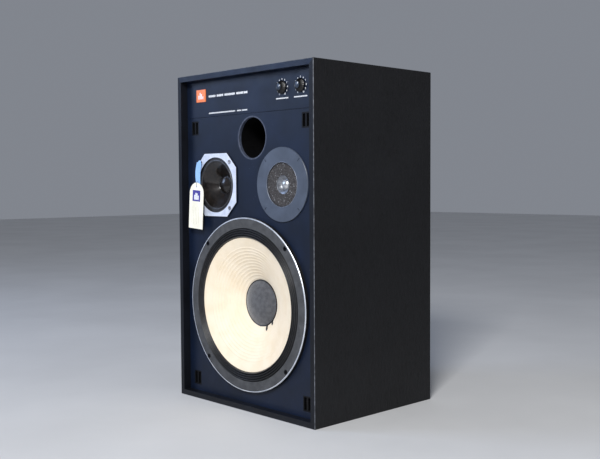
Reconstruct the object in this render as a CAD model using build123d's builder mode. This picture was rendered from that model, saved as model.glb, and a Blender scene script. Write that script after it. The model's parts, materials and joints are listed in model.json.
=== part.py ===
from build123d import *
import math
import os

# A three-way monitor loudspeaker that stands on its flat base. Millimetres, +Z up.
# The origin is the centre of the base, the front faces -Y and +X is the listener's right.
# A depth is always counted backwards from the front edges of the case.

# Case
case_width = 362.0
case_depth = 298.0
case_height = 597.0
wall = 19.0  # veneered board
lip = 10.0  # what the front and rear rebates leave of the wall
arris = 0.8  # broken outer edges
back_inset = 3.0
back_thick = 16.0
lining_thick = 12.0
block_leg = 20.0
block_length = 180.0

# Baffle
baffle_recess = 15.5
baffle_thick = 19.0
screw_reach = 14.5  # how far wood screws enter the baffle
fit_gap = 0.3  # between pieces that move past each other
play = 0.05  # radial running clearance of a shaft

# Control panel, badge and level controls
panel_height = 66.5
panel_thick = 1.0
panel_gap = 0.4
stamped_edge = 0.3  # soft front edge of the panel and of the badge
badge_width = 27.0
badge_height = 22.6
badge_thick = 1.2
badge_corner = 0.8
badge_x = -127.5
badge_drop = 37.5
knob_xs = {"mid": 92.2, "high": 136.7}
housing_gap = 3.0  # between a level control and the top panel
knob_base_r = 11.0
knob_face_r = 6.5
knob_face_edge = 0.7
knob_height = 8.2
knob_skirt = 2.4  # straight part at the foot of the knob
knob_skirt_edge = 0.5
knob_clear = 0.6  # air between the inside of a knob and its bushing
knob_hollow_r = 8.3
knob_lift = 0.6
shaft_r = 3.0
shaft_grip = 4.2  # length of shaft inside the knob
bushing_r = 4.75
nut_across = 12.0
nut_thick = 2.0
nut_under = 0.5  # thread that shows in front of a nut
housing_r = 17.0
housing_length = 25.0
housing_skin = 2.0
baffle_web = 6.0  # wood left in front of a level control
wiper_r = 12.0
wiper_thick = 2.0
wiper_drop = 12.0  # from the front of the housing

# Port
port_x = 13.0
port_drop = 119.5
port_r = 36.0
port_skin = 2.0
port_length = 120.0

# Grille catches
catch_width = 20.0
catch_height = 26.0
catch_deep = 12.0
catch_skin = 2.5
catch_rib = 4.0
catch_inset = 23.0  # from the lip to the middle of a catch
catch_drop = 96.0
catch_rise = 34.0

# Woofer
woofer_x = 0.0
woofer_rise = 185.5
woofer_flange_r = 153.5
woofer_proud = 7.8
woofer_rim = 2.1
woofer_gasket_thick = 1.6
woofer_surround_r = 134.0
woofer_surround_thick = 1.0
woofer_surround_lip = 6.0
woofer_pleats = 4
woofer_pleat_height = 3.2
woofer_wall_skin = 3.0
woofer_wall_drop = 15.7
woofer_leg_drop = 41.0
woofer_leg_count = 8
woofer_window_turn = 29.0
woofer_window_low = 10.0  # from the pot to a window
woofer_window_high = 9.0  # from the wall to a window
woofer_window_ahead = 4.0  # how far each window is cut past both ends of a leg
woofer_pot_r = 79.0
woofer_pot_deep = 21.0
woofer_pot_floor = 4.0
woofer_shelf_thick = 3.5
woofer_leg_back = 2.2  # how far the back of a leg is behind its front at the pot
woofer_wall_back = 1.5  # and at the wall
woofer_spider_ledge = 11.0
woofer_cone_r = 118.0
woofer_cone_front = 9.0
woofer_cone_skin = 1.2
woofer_cone_flare = 3.5
woofer_cap_lap = 2.0  # how far each dust cap reaches past its coil
woofer_cap_front = 45.5
woofer_cap_rise = 12.0
woofer_neck_drop = 3.0
woofer_coil_r = 38.0
woofer_screw_r = 146.8
woofer_screw_head_r = 4.0
woofer_screw_head = 2.0
woofer_screw_shank_r = 2.5
woofer_plate_thick = 8.0
woofer_magnet_r = 86.0
woofer_magnet_thick = 24.0
woofer_vent_r = 12.0
woofer_stroke = 5.0

# Midrange
mid_chamber_gap = 2.0  # between the rear chamber and the lining on the left wall
mid_drop = 201.0
mid_width = 116.0
mid_height = 114.0
mid_corner = 26.0
mid_plate = 3.0
mid_opening_r = 50.0
mid_wall_skin = 2.5
mid_surround_r = 46.0
mid_surround_thick = 0.8
mid_cone_r = 42.0
mid_cone_skin = 0.9
mid_cone_flare = 2.0
mid_cap_lap = 2.8
mid_cap_drop = 22.5  # from the plate's face to the rim of the cap
mid_cap_rise = 5.0
mid_neck_drop = 2.0
mid_coil_r = 12.0
mid_wall_drop = 14.5
mid_leg_drop = 16.0
mid_pot_r = 30.0
mid_pot_deep = 8.0
mid_plate_thick = 5.0
mid_magnet_r = 40.0
mid_magnet_thick = 14.0
mid_chamber_r = 62.0
mid_chamber_length = 76.0
mid_chamber_skin = 1.5
mid_screw_r = 58.0
mid_screw_head_r = 3.3
mid_screw_head = 1.6
mid_screw_shank_r = 1.9
mid_stroke = 1.5

# Tweeter
tweeter_x = 91.0
tweeter_drop = 201.0
tweeter_plate_r = 63.0
tweeter_plate = 2.5
tweeter_opening_r = 38.0
tweeter_pan_skin = 3.5
tweeter_pan_deep = 6.5
tweeter_pan_floor = 2.0
tweeter_foam_sink = 1.6
tweeter_cone_r = 15.5
tweeter_cone_sink = 4.0
tweeter_cone_deep = 4.5
tweeter_cone_skin = 0.6
tweeter_cap_lap = 0.6
tweeter_cap_rise = 3.6
tweeter_coil_r = 7.4
tweeter_motor_r = 34.0
tweeter_motor_deep = 24.0
tweeter_screw_r = 58.0
tweeter_screw_head_r = 3.2
tweeter_screw_head = 1.4
tweeter_screw_shank_r = 1.8
tweeter_stroke = 0.5

# Every moving coil has the same build
former_skin = 0.4
winding_skin = 0.9
coil_gap = 0.8

# Rear fittings and crossover
cup_width = 84.0
cup_height = 58.0
cup_deep = 22.0
cup_skin = 2.5
cup_flange = 9.0
cup_flange_thick = 2.4
cup_flange_corner = 5.0
cup_corner = 3.0
cup_rise = 120.0
button_r = 6.5
button_length = 17.0
button_edge = 1.0
button_neck = 2.0  # how much thinner the tail of a button is
button_proud = 8.5
button_collar = 1.5
button_collar_thick = 2.0
button_pitch = 36.0
button_travel = 3.0
wire_hole_r = 1.8
wire_hole_drop = 13.0
plate_width = 92.0
plate_height = 52.0
plate_thick = 0.6
plate_corner = 2.0
plate_rise = 215.0
board_width = 170.0
board_height = 120.0
board_thick = 3.0
board_rise = 320.0
standoff = 8.0
standoff_r = 4.0
standoff_inset = 10.0
capacitor_r = 11.0
capacitor_length = 42.0
capacitor_xs = (-66.0, -40.0, -14.0, 12.0)
capacitor_rise = 8.0  # from the lower edge of the board
inductor_r = 22.0
inductor_bore_r = 9.0
inductor_thick = 20.0
inductor_spots = ((-48.0, 28.0), (8.0, 28.0), (56.0, 2.0))  # from the middle of the board

# Wires
wire_r = 2.0
lead_r = 1.0
lead_turns = (-50.0, -40.0)  # degrees from the right, on each side of the lower right leg
lead_start_r = 60.0
lead_end_r = 100.0

# Hang tag on its ribbon
tag_width = 41.0
tag_height = 85.0
tag_thick = 0.8
tag_front = 2.6
tag_lean = 3.9  # degrees, lower end towards the listener's left
tag_shoulder = 19.0
tag_hole_r = 1.6
tag_hole_drop = 7.8
tag_hole_offset = (-2.0, -44.2)  # from the screw that carries the ribbon
ribbon_width = 6.0

front_y = -case_depth / 2
back_y = case_depth / 2
opening_width = case_width - 2 * lip
opening_height = case_height - 2 * lip
hollow_width = case_width - 2 * wall
hollow_height = case_height - 2 * wall
hollow_middle = case_height / 2
baffle_back = baffle_recess + baffle_thick
panel_front = baffle_recess - panel_thick
back_front = case_depth - back_inset - back_thick

woofer = (woofer_x, woofer_rise)
mid_x = mid_chamber_r + mid_chamber_gap + lining_thick - hollow_width / 2
mid = (mid_x, case_height - mid_drop)
tweeter = (tweeter_x, case_height - tweeter_drop)
port = (port_x, case_height - port_drop)
knob_z = hollow_middle + hollow_height / 2 - housing_gap - housing_r


def front_plane(depth, x=0.0, z=0.0):
    """The upright plane at a depth, facing the listener: its own x is X and its own y is Z."""
    return Plane(origin=(x, front_y + depth, z), x_dir=(1, 0, 0), z_dir=(0, -1, 0))


def turning_plane(centre, turn=0.0):
    """A plane through a round piece's axis: x is the radius and y is the depth."""
    side, up = math.cos(math.radians(turn)), math.sin(math.radians(turn))
    return Plane(origin=(centre[0], front_y, centre[1]), x_dir=(side, 0, up), z_dir=(-up, 0, side))


def turn(centre, *outline):
    """Adds a round piece, turned about its axis from (radius, depth) corners."""
    with BuildSketch(turning_plane(centre)) as profile:
        with BuildLine():
            Polyline(*outline, close=True)
        make_face()
    revolve(profile.sketch, axis=Axis((centre[0], front_y, centre[1]), (0, 1, 0)))


def ring(centre, inner, outer, front, back):
    """Adds a plain ring, or a disc if its inner radius is nought."""
    turn(centre, (inner, front), (outer, front), (outer, back), (inner, back))


def shell(centre, rim, waist, neck, skin):
    """Adds a curved cone of one thickness through three (radius, depth) points of its front."""
    with BuildSketch(turning_plane(centre)) as profile:
        with BuildLine():
            front = ThreePointArc(rim, waist, neck)
            back = ThreePointArc(*[(r, depth + skin) for r, depth in (rim, waist, neck)])
            Line(front @ 0, back @ 0)
            Line(front @ 1, back @ 1)
        make_face()
    revolve(profile.sketch, axis=Axis((centre[0], front_y, centre[1]), (0, 1, 0)))


def dome(centre, radius, front, rise, skin):
    """Adds a dust cap: a shallow dome with its rim at a depth."""
    foot = radius - skin
    with BuildSketch(turning_plane(centre)) as profile:
        with BuildLine():
            outside = ThreePointArc((0, front - rise), (0.6 * radius, front - 0.68 * rise), (radius, front))
            hollow = rise - skin
            inside = ThreePointArc((0, front - hollow), (0.6 * foot, front - 0.66 * hollow), (foot, front))
            Line(outside @ 0, inside @ 0)
            Line(outside @ 1, inside @ 1)
        make_face()
    revolve(profile.sketch, axis=Axis((centre[0], front_y, centre[1]), (0, 1, 0)))


def four(centre, pitch_r, radius, front, back, mode=Mode.ADD):
    """Adds or cuts four rounds on a driver's diagonals, from one depth to another."""
    with BuildSketch(front_plane(front, *centre)) as spots:
        with PolarLocations(pitch_r, 4, start_angle=45):
            Circle(radius)
    extrude(spots.sketch, amount=front - back, mode=mode)


def pleated(inner, outer, depth, height, skin, count):
    """Corners of a pleated strip, all at one thickness, between two radii."""
    step = (outer - inner) / (2 * count)
    heights = [depth - height * (i % 2) for i in range(2 * count + 1)]
    front = [(outer - step * i, z) for i, z in enumerate(heights)]
    return front + [(r, z + skin) for r, z in reversed(front)]


def coil(centre, radius, front, gap_front, gap_back):
    """Adds a former with its winding, which reaches 2 mm past both sides of the magnet gap."""
    overhang = 2.0
    skin = radius + former_skin
    winding = skin + winding_skin
    start, end = gap_front - overhang, gap_back + overhang
    turn(
        centre,
        (radius, front),
        (skin, front),
        (skin, start),
        (winding, start),
        (winding, end),
        (radius, end),
    )


def wire(points, radius):
    """Adds a round wire along straight runs joined by tangent arcs, and returns the arcs' radii."""
    corners = [Vector(*point) for point in points]
    radii = []
    for before, here, after in zip(corners, corners[1:], corners[2:]):
        bend = math.radians((here - before).get_angle(after - here))
        radii.append(0.45 * min((here - before).length, (after - here).length) / math.tan(bend / 2))
    with BuildLine() as route:
        FilletPolyline(*points, radius=radii)
    with BuildSketch(Plane(origin=points[0], z_dir=corners[1] - corners[0])) as section:
        Circle(radius)
    sweep(section.sketch, path=route.wires()[0])
    return radii


def finish(name, piece):
    """Labels a piece and writes it to its own file."""
    piece.part.label = name
    export_step(piece.part, f"parts/{name}.step")


os.makedirs("parts", exist_ok=True)


# Case: four mitred boards with a rebate at the front and at the back
def case_board(name, half_length, half_span, x_dir):
    """One mitred board; half_span is from the middle of the case to the board's outer face."""
    with BuildPart() as board:
        with BuildSketch(Plane(origin=(0, back_y, hollow_middle), x_dir=x_dir, z_dir=(0, -1, 0))):
            with BuildLine():
                Polyline(
                    (-half_length + arris, half_span),
                    (half_length - arris, half_span),
                    (half_length - arris / 2, half_span - arris / 2),
                    (half_length - wall, half_span - wall),
                    (-half_length + wall, half_span - wall),
                    (-half_length + arris / 2, half_span - arris / 2),
                    close=True,
                )
            make_face()
        extrude(amount=case_depth)
        with BuildSketch(front_plane(0, z=hollow_middle)):
            Rectangle(opening_width, opening_height)
        extrude(amount=-baffle_back, mode=Mode.SUBTRACT)
        with BuildSketch(front_plane(back_front, z=hollow_middle)):
            Rectangle(opening_width, opening_height)
        extrude(amount=-(back_inset + back_thick), mode=Mode.SUBTRACT)
        front_edges = board.edges().group_by(Axis.Y)[0]
        chamfer(front_edges.sort_by(Edge.length)[-1], length=arris)
    finish(name, board)


case_board("top_panel", case_width / 2, case_height / 2, (1, 0, 0))
case_board("bottom_panel", case_width / 2, case_height / 2, (-1, 0, 0))
case_board("left_side_panel", case_height / 2, case_width / 2, (0, 0, 1))
case_board("right_side_panel", case_height / 2, case_width / 2, (0, 0, -1))

with BuildPart() as back_panel:
    with BuildSketch(front_plane(back_front, z=hollow_middle)):
        Rectangle(opening_width, opening_height)
    extrude(amount=-back_thick)
    with BuildSketch(front_plane(back_front, z=cup_rise)):
        Rectangle(cup_width + 2 * cup_skin, cup_height + 2 * cup_skin)
    extrude(amount=-back_thick, mode=Mode.SUBTRACT)
finish("back_panel", back_panel)

# Glue blocks fill the four long corners behind the baffle
with BuildPart() as corner_glue_blocks:
    block_front = case_depth - back_inset - back_thick - block_length
    with BuildSketch(front_plane(block_front, z=hollow_middle)):
        for side in (-1, 1):
            for level in (-1, 1):
                corner = (side * hollow_width / 2, level * hollow_height / 2)
                with BuildLine():
                    Polyline(
                        corner,
                        (corner[0] - side * block_leg, corner[1]),
                        (corner[0], corner[1] - level * block_leg),
                        close=True,
                    )
                make_face()
    extrude(amount=-block_length)
finish("corner_glue_blocks", corner_glue_blocks)

# Felt on both side walls, clear of the glue blocks and the level controls
with BuildPart() as damping_lining:
    lining_low = wall + block_leg + 6
    lining_high = knob_z - housing_r - 8
    lining_front = baffle_back + 34
    lining_back = back_front - 10
    with BuildSketch(front_plane(lining_front, z=(lining_low + lining_high) / 2)):
        with Locations(*[(side * (hollow_width - lining_thick) / 2, 0) for side in (-1, 1)]):
            Rectangle(lining_thick, lining_high - lining_low)
    extrude(amount=lining_front - lining_back)
finish("damping_lining", damping_lining)

# Baffle, with every cut-out tied to what sits in it
catch_x = opening_width / 2 - catch_inset
catch_spots = {
    "upper_grille_catches": [(side * catch_x, case_height - catch_drop) for side in (-1, 1)],
    "lower_grille_catches": [(side * catch_x, catch_rise) for side in (-1, 1)],
}
woofer_front = baffle_recess - woofer_proud
woofer_seat = woofer_front + woofer_gasket_thick
woofer_ledge = woofer_seat + woofer_surround_thick
woofer_wall_r = woofer_surround_r + woofer_wall_skin
mid_wall_r = mid_opening_r + mid_wall_skin
tweeter_pan_r = tweeter_opening_r + tweeter_pan_skin
cutout_gap = 0.8

with BuildPart() as front_baffle:
    with BuildSketch(front_plane(baffle_recess)):
        with Locations((0, hollow_middle)):
            Rectangle(opening_width, opening_height)
        with Locations(woofer):
            Circle(woofer_wall_r + cutout_gap, mode=Mode.SUBTRACT)
        with Locations(mid):
            Circle(mid_wall_r + cutout_gap, mode=Mode.SUBTRACT)
        with Locations(tweeter):
            Circle(tweeter_pan_r + cutout_gap, mode=Mode.SUBTRACT)
        with Locations(port):
            Circle(port_r + port_skin, mode=Mode.SUBTRACT)
        with Locations(*[(x, knob_z) for x in knob_xs.values()]):
            Circle(bushing_r, mode=Mode.SUBTRACT)
    extrude(amount=-baffle_thick)
    with BuildSketch(front_plane(baffle_recess)):
        with Locations(*[spot for spots in catch_spots.values() for spot in spots]):
            Rectangle(catch_width, catch_height)
    extrude(amount=-catch_deep, mode=Mode.SUBTRACT)
    with BuildSketch(front_plane(baffle_recess + baffle_web)):
        with Locations(*[(x, knob_z) for x in knob_xs.values()]):
            Circle(housing_r + cutout_gap)
    extrude(amount=baffle_web - baffle_thick, mode=Mode.SUBTRACT)
    screw_end = baffle_recess + screw_reach
    four(woofer, woofer_screw_r, woofer_screw_shank_r, baffle_recess, screw_end, Mode.SUBTRACT)
    four(mid, mid_screw_r, mid_screw_shank_r, baffle_recess, screw_end, Mode.SUBTRACT)
    four(tweeter, tweeter_screw_r, tweeter_screw_shank_r, baffle_recess, screw_end, Mode.SUBTRACT)
finish("front_baffle", front_baffle)

with BuildPart() as control_panel:
    panel_middle = case_height - lip - panel_gap - panel_height / 2
    with BuildSketch(front_plane(baffle_recess, z=panel_middle)):
        Rectangle(opening_width - 2 * panel_gap, panel_height)
        with Locations(*[(x, knob_z - panel_middle) for x in knob_xs.values()]):
            Circle(bushing_r, mode=Mode.SUBTRACT)
    extrude(amount=panel_thick)
    panel_rim = control_panel.faces().sort_by(Axis.Y)[0].outer_wire().edges()
    chamfer(panel_rim, length=stamped_edge)
finish("control_panel", control_panel)

with BuildPart() as badge:
    with BuildSketch(front_plane(panel_front, badge_x, case_height - badge_drop)):
        RectangleRounded(badge_width, badge_height, badge_corner)
    extrude(amount=badge_thick)
    fillet(badge.faces().sort_by(Axis.Y)[0].edges(), radius=stamped_edge)
finish("badge", badge)

# The port is a plain tube, flush with the baffle
with BuildPart() as port_tube:
    ring(port, port_r, port_r + port_skin, baffle_recess, baffle_recess + port_length)
finish("port_tube", port_tube)

# Each catch is a cup with two slots, one on each side of a rib
for catch_name, spots in catch_spots.items():
    with BuildPart() as catches:
        slot_width = (catch_width - 2 * catch_skin - catch_rib) / 2
        slot_shift = (slot_width + catch_rib) / 2
        with BuildSketch(front_plane(baffle_recess)):
            with Locations(*spots):
                Rectangle(catch_width, catch_height)
        extrude(amount=-catch_deep)
        with BuildSketch(front_plane(baffle_recess)):
            with Locations(*[(x + side * slot_shift, z) for x, z in spots for side in (-1, 1)]):
                Rectangle(slot_width, catch_height - 2 * catch_skin)
        extrude(amount=catch_skin - catch_deep, mode=Mode.SUBTRACT)
    finish(catch_name, catches)

# Level controls: a housing behind the baffle, its bushing through it, and a knob on the shaft
housing_front = baffle_recess + baffle_web
bushing_front = panel_front - nut_thick - nut_under
knob_foot = panel_front - knob_lift
knob_face = knob_foot - knob_height
hollow_back = bushing_front - knob_clear
shaft_front = hollow_back - shaft_grip
wiper_front = housing_front + wiper_drop
for level_name, knob_x in knob_xs.items():
    level = (knob_x, knob_z)

    with BuildPart() as level_housing:
        housing_back = housing_front + housing_length
        hollow_r = housing_r - housing_skin
        bore_r = shaft_r + play
        turn(
            level,
            (bore_r, bushing_front),
            (bushing_r, bushing_front),
            (bushing_r, housing_front),
            (housing_r, housing_front),
            (housing_r, housing_back),
            (0, housing_back),
            (0, housing_back - housing_skin),
            (hollow_r, housing_back - housing_skin),
            (hollow_r, housing_front + housing_skin),
            (bore_r, housing_front + housing_skin),
        )
    finish(f"{level_name}_level_housing", level_housing)

    with BuildPart() as level_shaft:
        turn(
            level,
            (0, shaft_front),
            (shaft_r, shaft_front),
            (shaft_r, wiper_front),
            (wiper_r, wiper_front),
            (wiper_r, wiper_front + wiper_thick),
            (0, wiper_front + wiper_thick),
        )
    finish(f"{level_name}_level_shaft", level_shaft)

    with BuildPart() as level_knob:
        turn(
            level,
            (0, knob_face),
            (knob_face_r - knob_face_edge, knob_face),
            (knob_face_r, knob_face + knob_face_edge),
            (knob_base_r - knob_skirt_edge, knob_foot - knob_skirt),
            (knob_base_r, knob_foot - knob_skirt + knob_skirt_edge),
            (knob_base_r, knob_foot),
            (knob_hollow_r, knob_foot),
            (knob_hollow_r, hollow_back),
            (shaft_r, hollow_back),
            (shaft_r, shaft_front),
            (0, shaft_front),
        )
    finish(f"{level_name}_level_knob", level_knob)

with BuildPart() as level_control_nuts:
    with BuildSketch(front_plane(panel_front)):
        with Locations(*[(x, knob_z) for x in knob_xs.values()]):
            RegularPolygon(nut_across / 2, 6, major_radius=False)
            Circle(bushing_r, mode=Mode.SUBTRACT)
    extrude(amount=nut_thick)
finish("level_control_nuts", level_control_nuts)

# Woofer: a cast basket with eight legs, a motor behind it and a pleated surround
woofer_wall_end = woofer_ledge + woofer_wall_drop
spider_seat = woofer_wall_end + woofer_leg_drop
pot_skin = woofer_pot_r - woofer_wall_skin - 1
pot_floor = spider_seat + woofer_pot_deep
top_plate_front = pot_floor + woofer_pot_floor
magnet_front = top_plate_front + woofer_plate_thick
pole_back_front = magnet_front + woofer_magnet_thick
motor_back = pole_back_front + woofer_plate_thick
woofer_former_r = woofer_coil_r + former_skin
woofer_gap_r = woofer_former_r + winding_skin + coil_gap
woofer_pole_r = woofer_coil_r - coil_gap

with BuildPart() as woofer_basket:
    rim_r = woofer_flange_r - woofer_rim
    rim_edge = 0.8
    lip_r = woofer_surround_r + woofer_surround_lip
    ledge_r = woofer_pot_r - woofer_wall_skin - woofer_spider_ledge
    leg_foot_r = woofer_pot_r - 2
    plate_seat_r = woofer_gap_r + 2.3
    turn(
        woofer,
        (woofer_flange_r, baffle_recess),
        (woofer_flange_r, woofer_front + rim_edge),
        (woofer_flange_r - rim_edge, woofer_front),
        (rim_r, woofer_front),
        (rim_r, woofer_seat),
        (lip_r, woofer_seat),
        (lip_r, woofer_ledge),
        (woofer_surround_r, woofer_ledge),
        (woofer_surround_r, woofer_wall_end),
        (leg_foot_r, spider_seat),
        (ledge_r, spider_seat),
        (ledge_r, spider_seat + woofer_shelf_thick),
        (pot_skin, spider_seat + woofer_shelf_thick),
        (pot_skin, pot_floor),
        (plate_seat_r, pot_floor),
        (plate_seat_r, top_plate_front),
        (woofer_pot_r, top_plate_front),
        (woofer_pot_r, spider_seat + woofer_leg_back),
        (woofer_wall_r, woofer_wall_end + woofer_wall_back),
        (woofer_wall_r, baffle_recess),
    )
    window_inner = woofer_pot_r + woofer_window_low
    window_outer = woofer_wall_r - woofer_window_high
    half_turn = math.radians(woofer_window_turn / 2)
    along, across = math.cos(half_turn), math.sin(half_turn)
    with BuildSketch(front_plane(woofer_wall_end - woofer_window_ahead, *woofer)):
        with PolarLocations(0, woofer_leg_count, start_angle=180 / woofer_leg_count):
            with BuildLine():
                Polyline(
                    (window_inner * along, window_inner * across),
                    (window_outer * along, window_outer * across),
                    (window_outer * along, -window_outer * across),
                    (window_inner * along, -window_inner * across),
                    close=True,
                )
            make_face()
    extrude(amount=-woofer_leg_drop - 2 * woofer_window_ahead, mode=Mode.SUBTRACT)
    four(woofer, woofer_screw_r, woofer_screw_shank_r + 0.2, woofer_seat, baffle_recess, Mode.SUBTRACT)
finish("woofer_basket", woofer_basket)

with BuildPart() as woofer_gasket:
    ring(woofer, woofer_surround_r + 1, rim_r - 0.1, woofer_front, woofer_seat)
    four(woofer, woofer_screw_r, woofer_screw_head_r + 0.3, woofer_front, woofer_seat, Mode.SUBTRACT)
finish("woofer_gasket", woofer_gasket)

with BuildPart() as woofer_surround:
    pleat_inner = woofer_cone_r + fit_gap
    strip = pleated(
        pleat_inner,
        woofer_surround_r,
        woofer_seat,
        woofer_pleat_height,
        woofer_surround_thick,
        woofer_pleats,
    )
    turn(woofer, (lip_r, woofer_seat), *strip, (lip_r, woofer_ledge))
finish("woofer_surround", woofer_surround)

with BuildPart() as woofer_cone:
    neck_depth = woofer_cap_front + woofer_neck_drop
    waist_r = (woofer_cone_r + woofer_former_r) / 2
    waist_depth = (woofer_cone_front + neck_depth) / 2 - woofer_cone_flare
    shell(
        woofer,
        (woofer_cone_r, woofer_cone_front),
        (waist_r, waist_depth),
        (woofer_former_r, neck_depth),
        woofer_cone_skin,
    )
finish("woofer_cone", woofer_cone)

with BuildPart() as woofer_dust_cap:
    dome(woofer, woofer_coil_r + woofer_cap_lap, woofer_cap_front, woofer_cap_rise, 1.0)
finish("woofer_dust_cap", woofer_dust_cap)

with BuildPart() as woofer_voice_coil:
    coil(woofer, woofer_coil_r, neck_depth - 2, top_plate_front, magnet_front)
finish("woofer_voice_coil", woofer_voice_coil)

with BuildPart() as woofer_spider:
    spider_rim_r = pot_skin - 1
    strip = pleated(woofer_former_r + fit_gap, ledge_r, spider_seat - 1, 2.5, 1.0, 4)
    turn(woofer, (spider_rim_r, spider_seat - 1), *strip, (spider_rim_r, spider_seat))
finish("woofer_spider", woofer_spider)

with BuildPart() as woofer_top_plate:
    ring(woofer, woofer_gap_r, woofer_pot_r - 3, top_plate_front, magnet_front)
finish("woofer_top_plate", woofer_top_plate)

with BuildPart() as woofer_magnet:
    ring(woofer, woofer_gap_r + 10, woofer_magnet_r, magnet_front, pole_back_front)
finish("woofer_magnet", woofer_magnet)

with BuildPart() as woofer_pole_piece:
    turn(
        woofer,
        (woofer_vent_r, top_plate_front),
        (woofer_pole_r, top_plate_front),
        (woofer_pole_r, pole_back_front),
        (woofer_pot_r - 3, pole_back_front),
        (woofer_pot_r - 3, motor_back),
        (woofer_vent_r, motor_back),
    )
finish("woofer_pole_piece", woofer_pole_piece)

# Two braided leads run from the back of the cone to the lower right leg
with BuildPart() as woofer_tinsel_leads:
    leg_share = (woofer_surround_r - lead_end_r) / (woofer_surround_r - leg_foot_r)
    leg_face = woofer_wall_end + woofer_leg_drop * leg_share
    lead_spots = [
        (lead_start_r, neck_depth - 12.1),
        (lead_start_r + 6, neck_depth - 2),
        (lead_start_r + 21, neck_depth),
        (lead_end_r - 5.5, leg_face - 7.6),
        (lead_end_r, leg_face),
    ]
    for lead_turn in lead_turns:
        lead_plane = turning_plane(woofer, lead_turn)
        wire([tuple(lead_plane.from_local_coords(Vector(r, depth, 0))) for r, depth in lead_spots], lead_r)
finish("woofer_tinsel_leads", woofer_tinsel_leads)

with BuildPart() as woofer_screws:
    four(woofer, woofer_screw_r, woofer_screw_head_r, woofer_seat - woofer_screw_head, woofer_seat)
    four(woofer, woofer_screw_r, woofer_screw_shank_r, woofer_seat, screw_end)
    with BuildSketch(front_plane(woofer_seat - woofer_screw_head, *woofer)):
        with PolarLocations(woofer_screw_r, 4, start_angle=45):
            RegularPolygon(2.0, 6)
    extrude(amount=-1.2, mode=Mode.SUBTRACT)
finish("woofer_screws", woofer_screws)

# Midrange: an eight-sided frame, a small cone and a sealed chamber behind
mid_front = baffle_recess - mid_plate
mid_ledge = mid_front + 3.5
mid_wall_end = mid_front + mid_wall_drop
mid_spider_seat = mid_wall_end + mid_leg_drop
mid_plate_front = mid_spider_seat + mid_pot_deep
mid_magnet_front = mid_plate_front + mid_plate_thick
mid_back_front = mid_magnet_front + mid_magnet_thick
mid_motor_back = mid_back_front + mid_plate_thick
mid_cap_front = mid_front + mid_cap_drop
mid_former_r = mid_coil_r + former_skin
mid_gap_r = mid_former_r + winding_skin + coil_gap

with BuildPart() as mid_frame:
    pot_inner = mid_pot_r - 2
    turn(
        mid,
        (mid_wall_r, mid_front),
        (mid_opening_r, mid_front),
        (mid_opening_r, mid_ledge),
        (mid_surround_r, mid_ledge),
        (mid_surround_r, mid_ledge + 2),
        (mid_opening_r - 1, mid_ledge + 2),
        (mid_opening_r - 1, mid_wall_end),
        (pot_inner, mid_spider_seat - 2),
        (pot_inner - 3, mid_spider_seat - 2),
        (pot_inner - 3, mid_spider_seat),
        (pot_inner, mid_spider_seat),
        (pot_inner, mid_plate_front - 2),
        (mid_gap_r + 1, mid_plate_front - 2),
        (mid_gap_r + 1, mid_plate_front),
        (mid_pot_r, mid_plate_front),
        (mid_pot_r, mid_spider_seat),
        (mid_wall_r, mid_wall_end + 1.5),
    )
    with BuildSketch(front_plane(baffle_recess, *mid)):
        with BuildLine():
            half_w, half_h = mid_width / 2, mid_height / 2
            edge_w, edge_h = half_w - mid_corner, half_h - mid_corner
            Polyline(
                (-edge_w, half_h),
                (edge_w, half_h),
                (half_w, edge_h),
                (half_w, -edge_h),
                (edge_w, -half_h),
                (-edge_w, -half_h),
                (-half_w, -edge_h),
                (-half_w, edge_h),
                close=True,
            )
        make_face()
        Circle(mid_opening_r, mode=Mode.SUBTRACT)
    extrude(amount=mid_plate)
    four(mid, mid_screw_r, mid_screw_shank_r + 0.2, mid_front, baffle_recess, Mode.SUBTRACT)
    mid_rim = mid_frame.faces().sort_by(Axis.Y)[0].outer_wire().edges()
    chamfer(mid_rim, length=0.5)
finish("mid_frame", mid_frame)

with BuildPart() as mid_surround:
    roll_back = mid_ledge
    roll_front = roll_back - mid_surround_thick
    strip = pleated(mid_cone_r + fit_gap, mid_surround_r, roll_front, 1.8, mid_surround_thick, 1)
    rim_edge = mid_opening_r - 0.1
    turn(mid, (rim_edge, roll_front), *strip, (rim_edge, roll_back))
finish("mid_surround", mid_surround)

with BuildPart() as mid_cone:
    mid_neck = mid_cap_front + mid_neck_drop
    mid_rim_depth = roll_front
    shell(
        mid,
        (mid_cone_r, mid_rim_depth),
        ((mid_cone_r + mid_former_r) / 2, (mid_rim_depth + mid_neck) / 2 - mid_cone_flare),
        (mid_former_r, mid_neck),
        mid_cone_skin,
    )
finish("mid_cone", mid_cone)

with BuildPart() as mid_dust_cap:
    dome(mid, mid_coil_r + mid_cap_lap, mid_cap_front - 0.6, mid_cap_rise, 0.7)
finish("mid_dust_cap", mid_dust_cap)

with BuildPart() as mid_voice_coil:
    coil(mid, mid_coil_r, mid_neck - 1, mid_plate_front, mid_magnet_front)
finish("mid_voice_coil", mid_voice_coil)

with BuildPart() as mid_spider:
    spider_edge = pot_inner - 0.5
    strip = pleated(mid_former_r + fit_gap, pot_inner - 3, mid_spider_seat - 2.8, 1.6, 0.8, 3)
    turn(mid, (spider_edge, mid_spider_seat - 2.8), *strip, (spider_edge, mid_spider_seat - 2))
finish("mid_spider", mid_spider)

with BuildPart() as mid_top_plate:
    ring(mid, mid_gap_r, mid_magnet_r - 4, mid_plate_front, mid_magnet_front)
finish("mid_top_plate", mid_top_plate)

with BuildPart() as mid_magnet:
    ring(mid, mid_gap_r + 4, mid_magnet_r, mid_magnet_front, mid_back_front)
finish("mid_magnet", mid_magnet)

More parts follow.
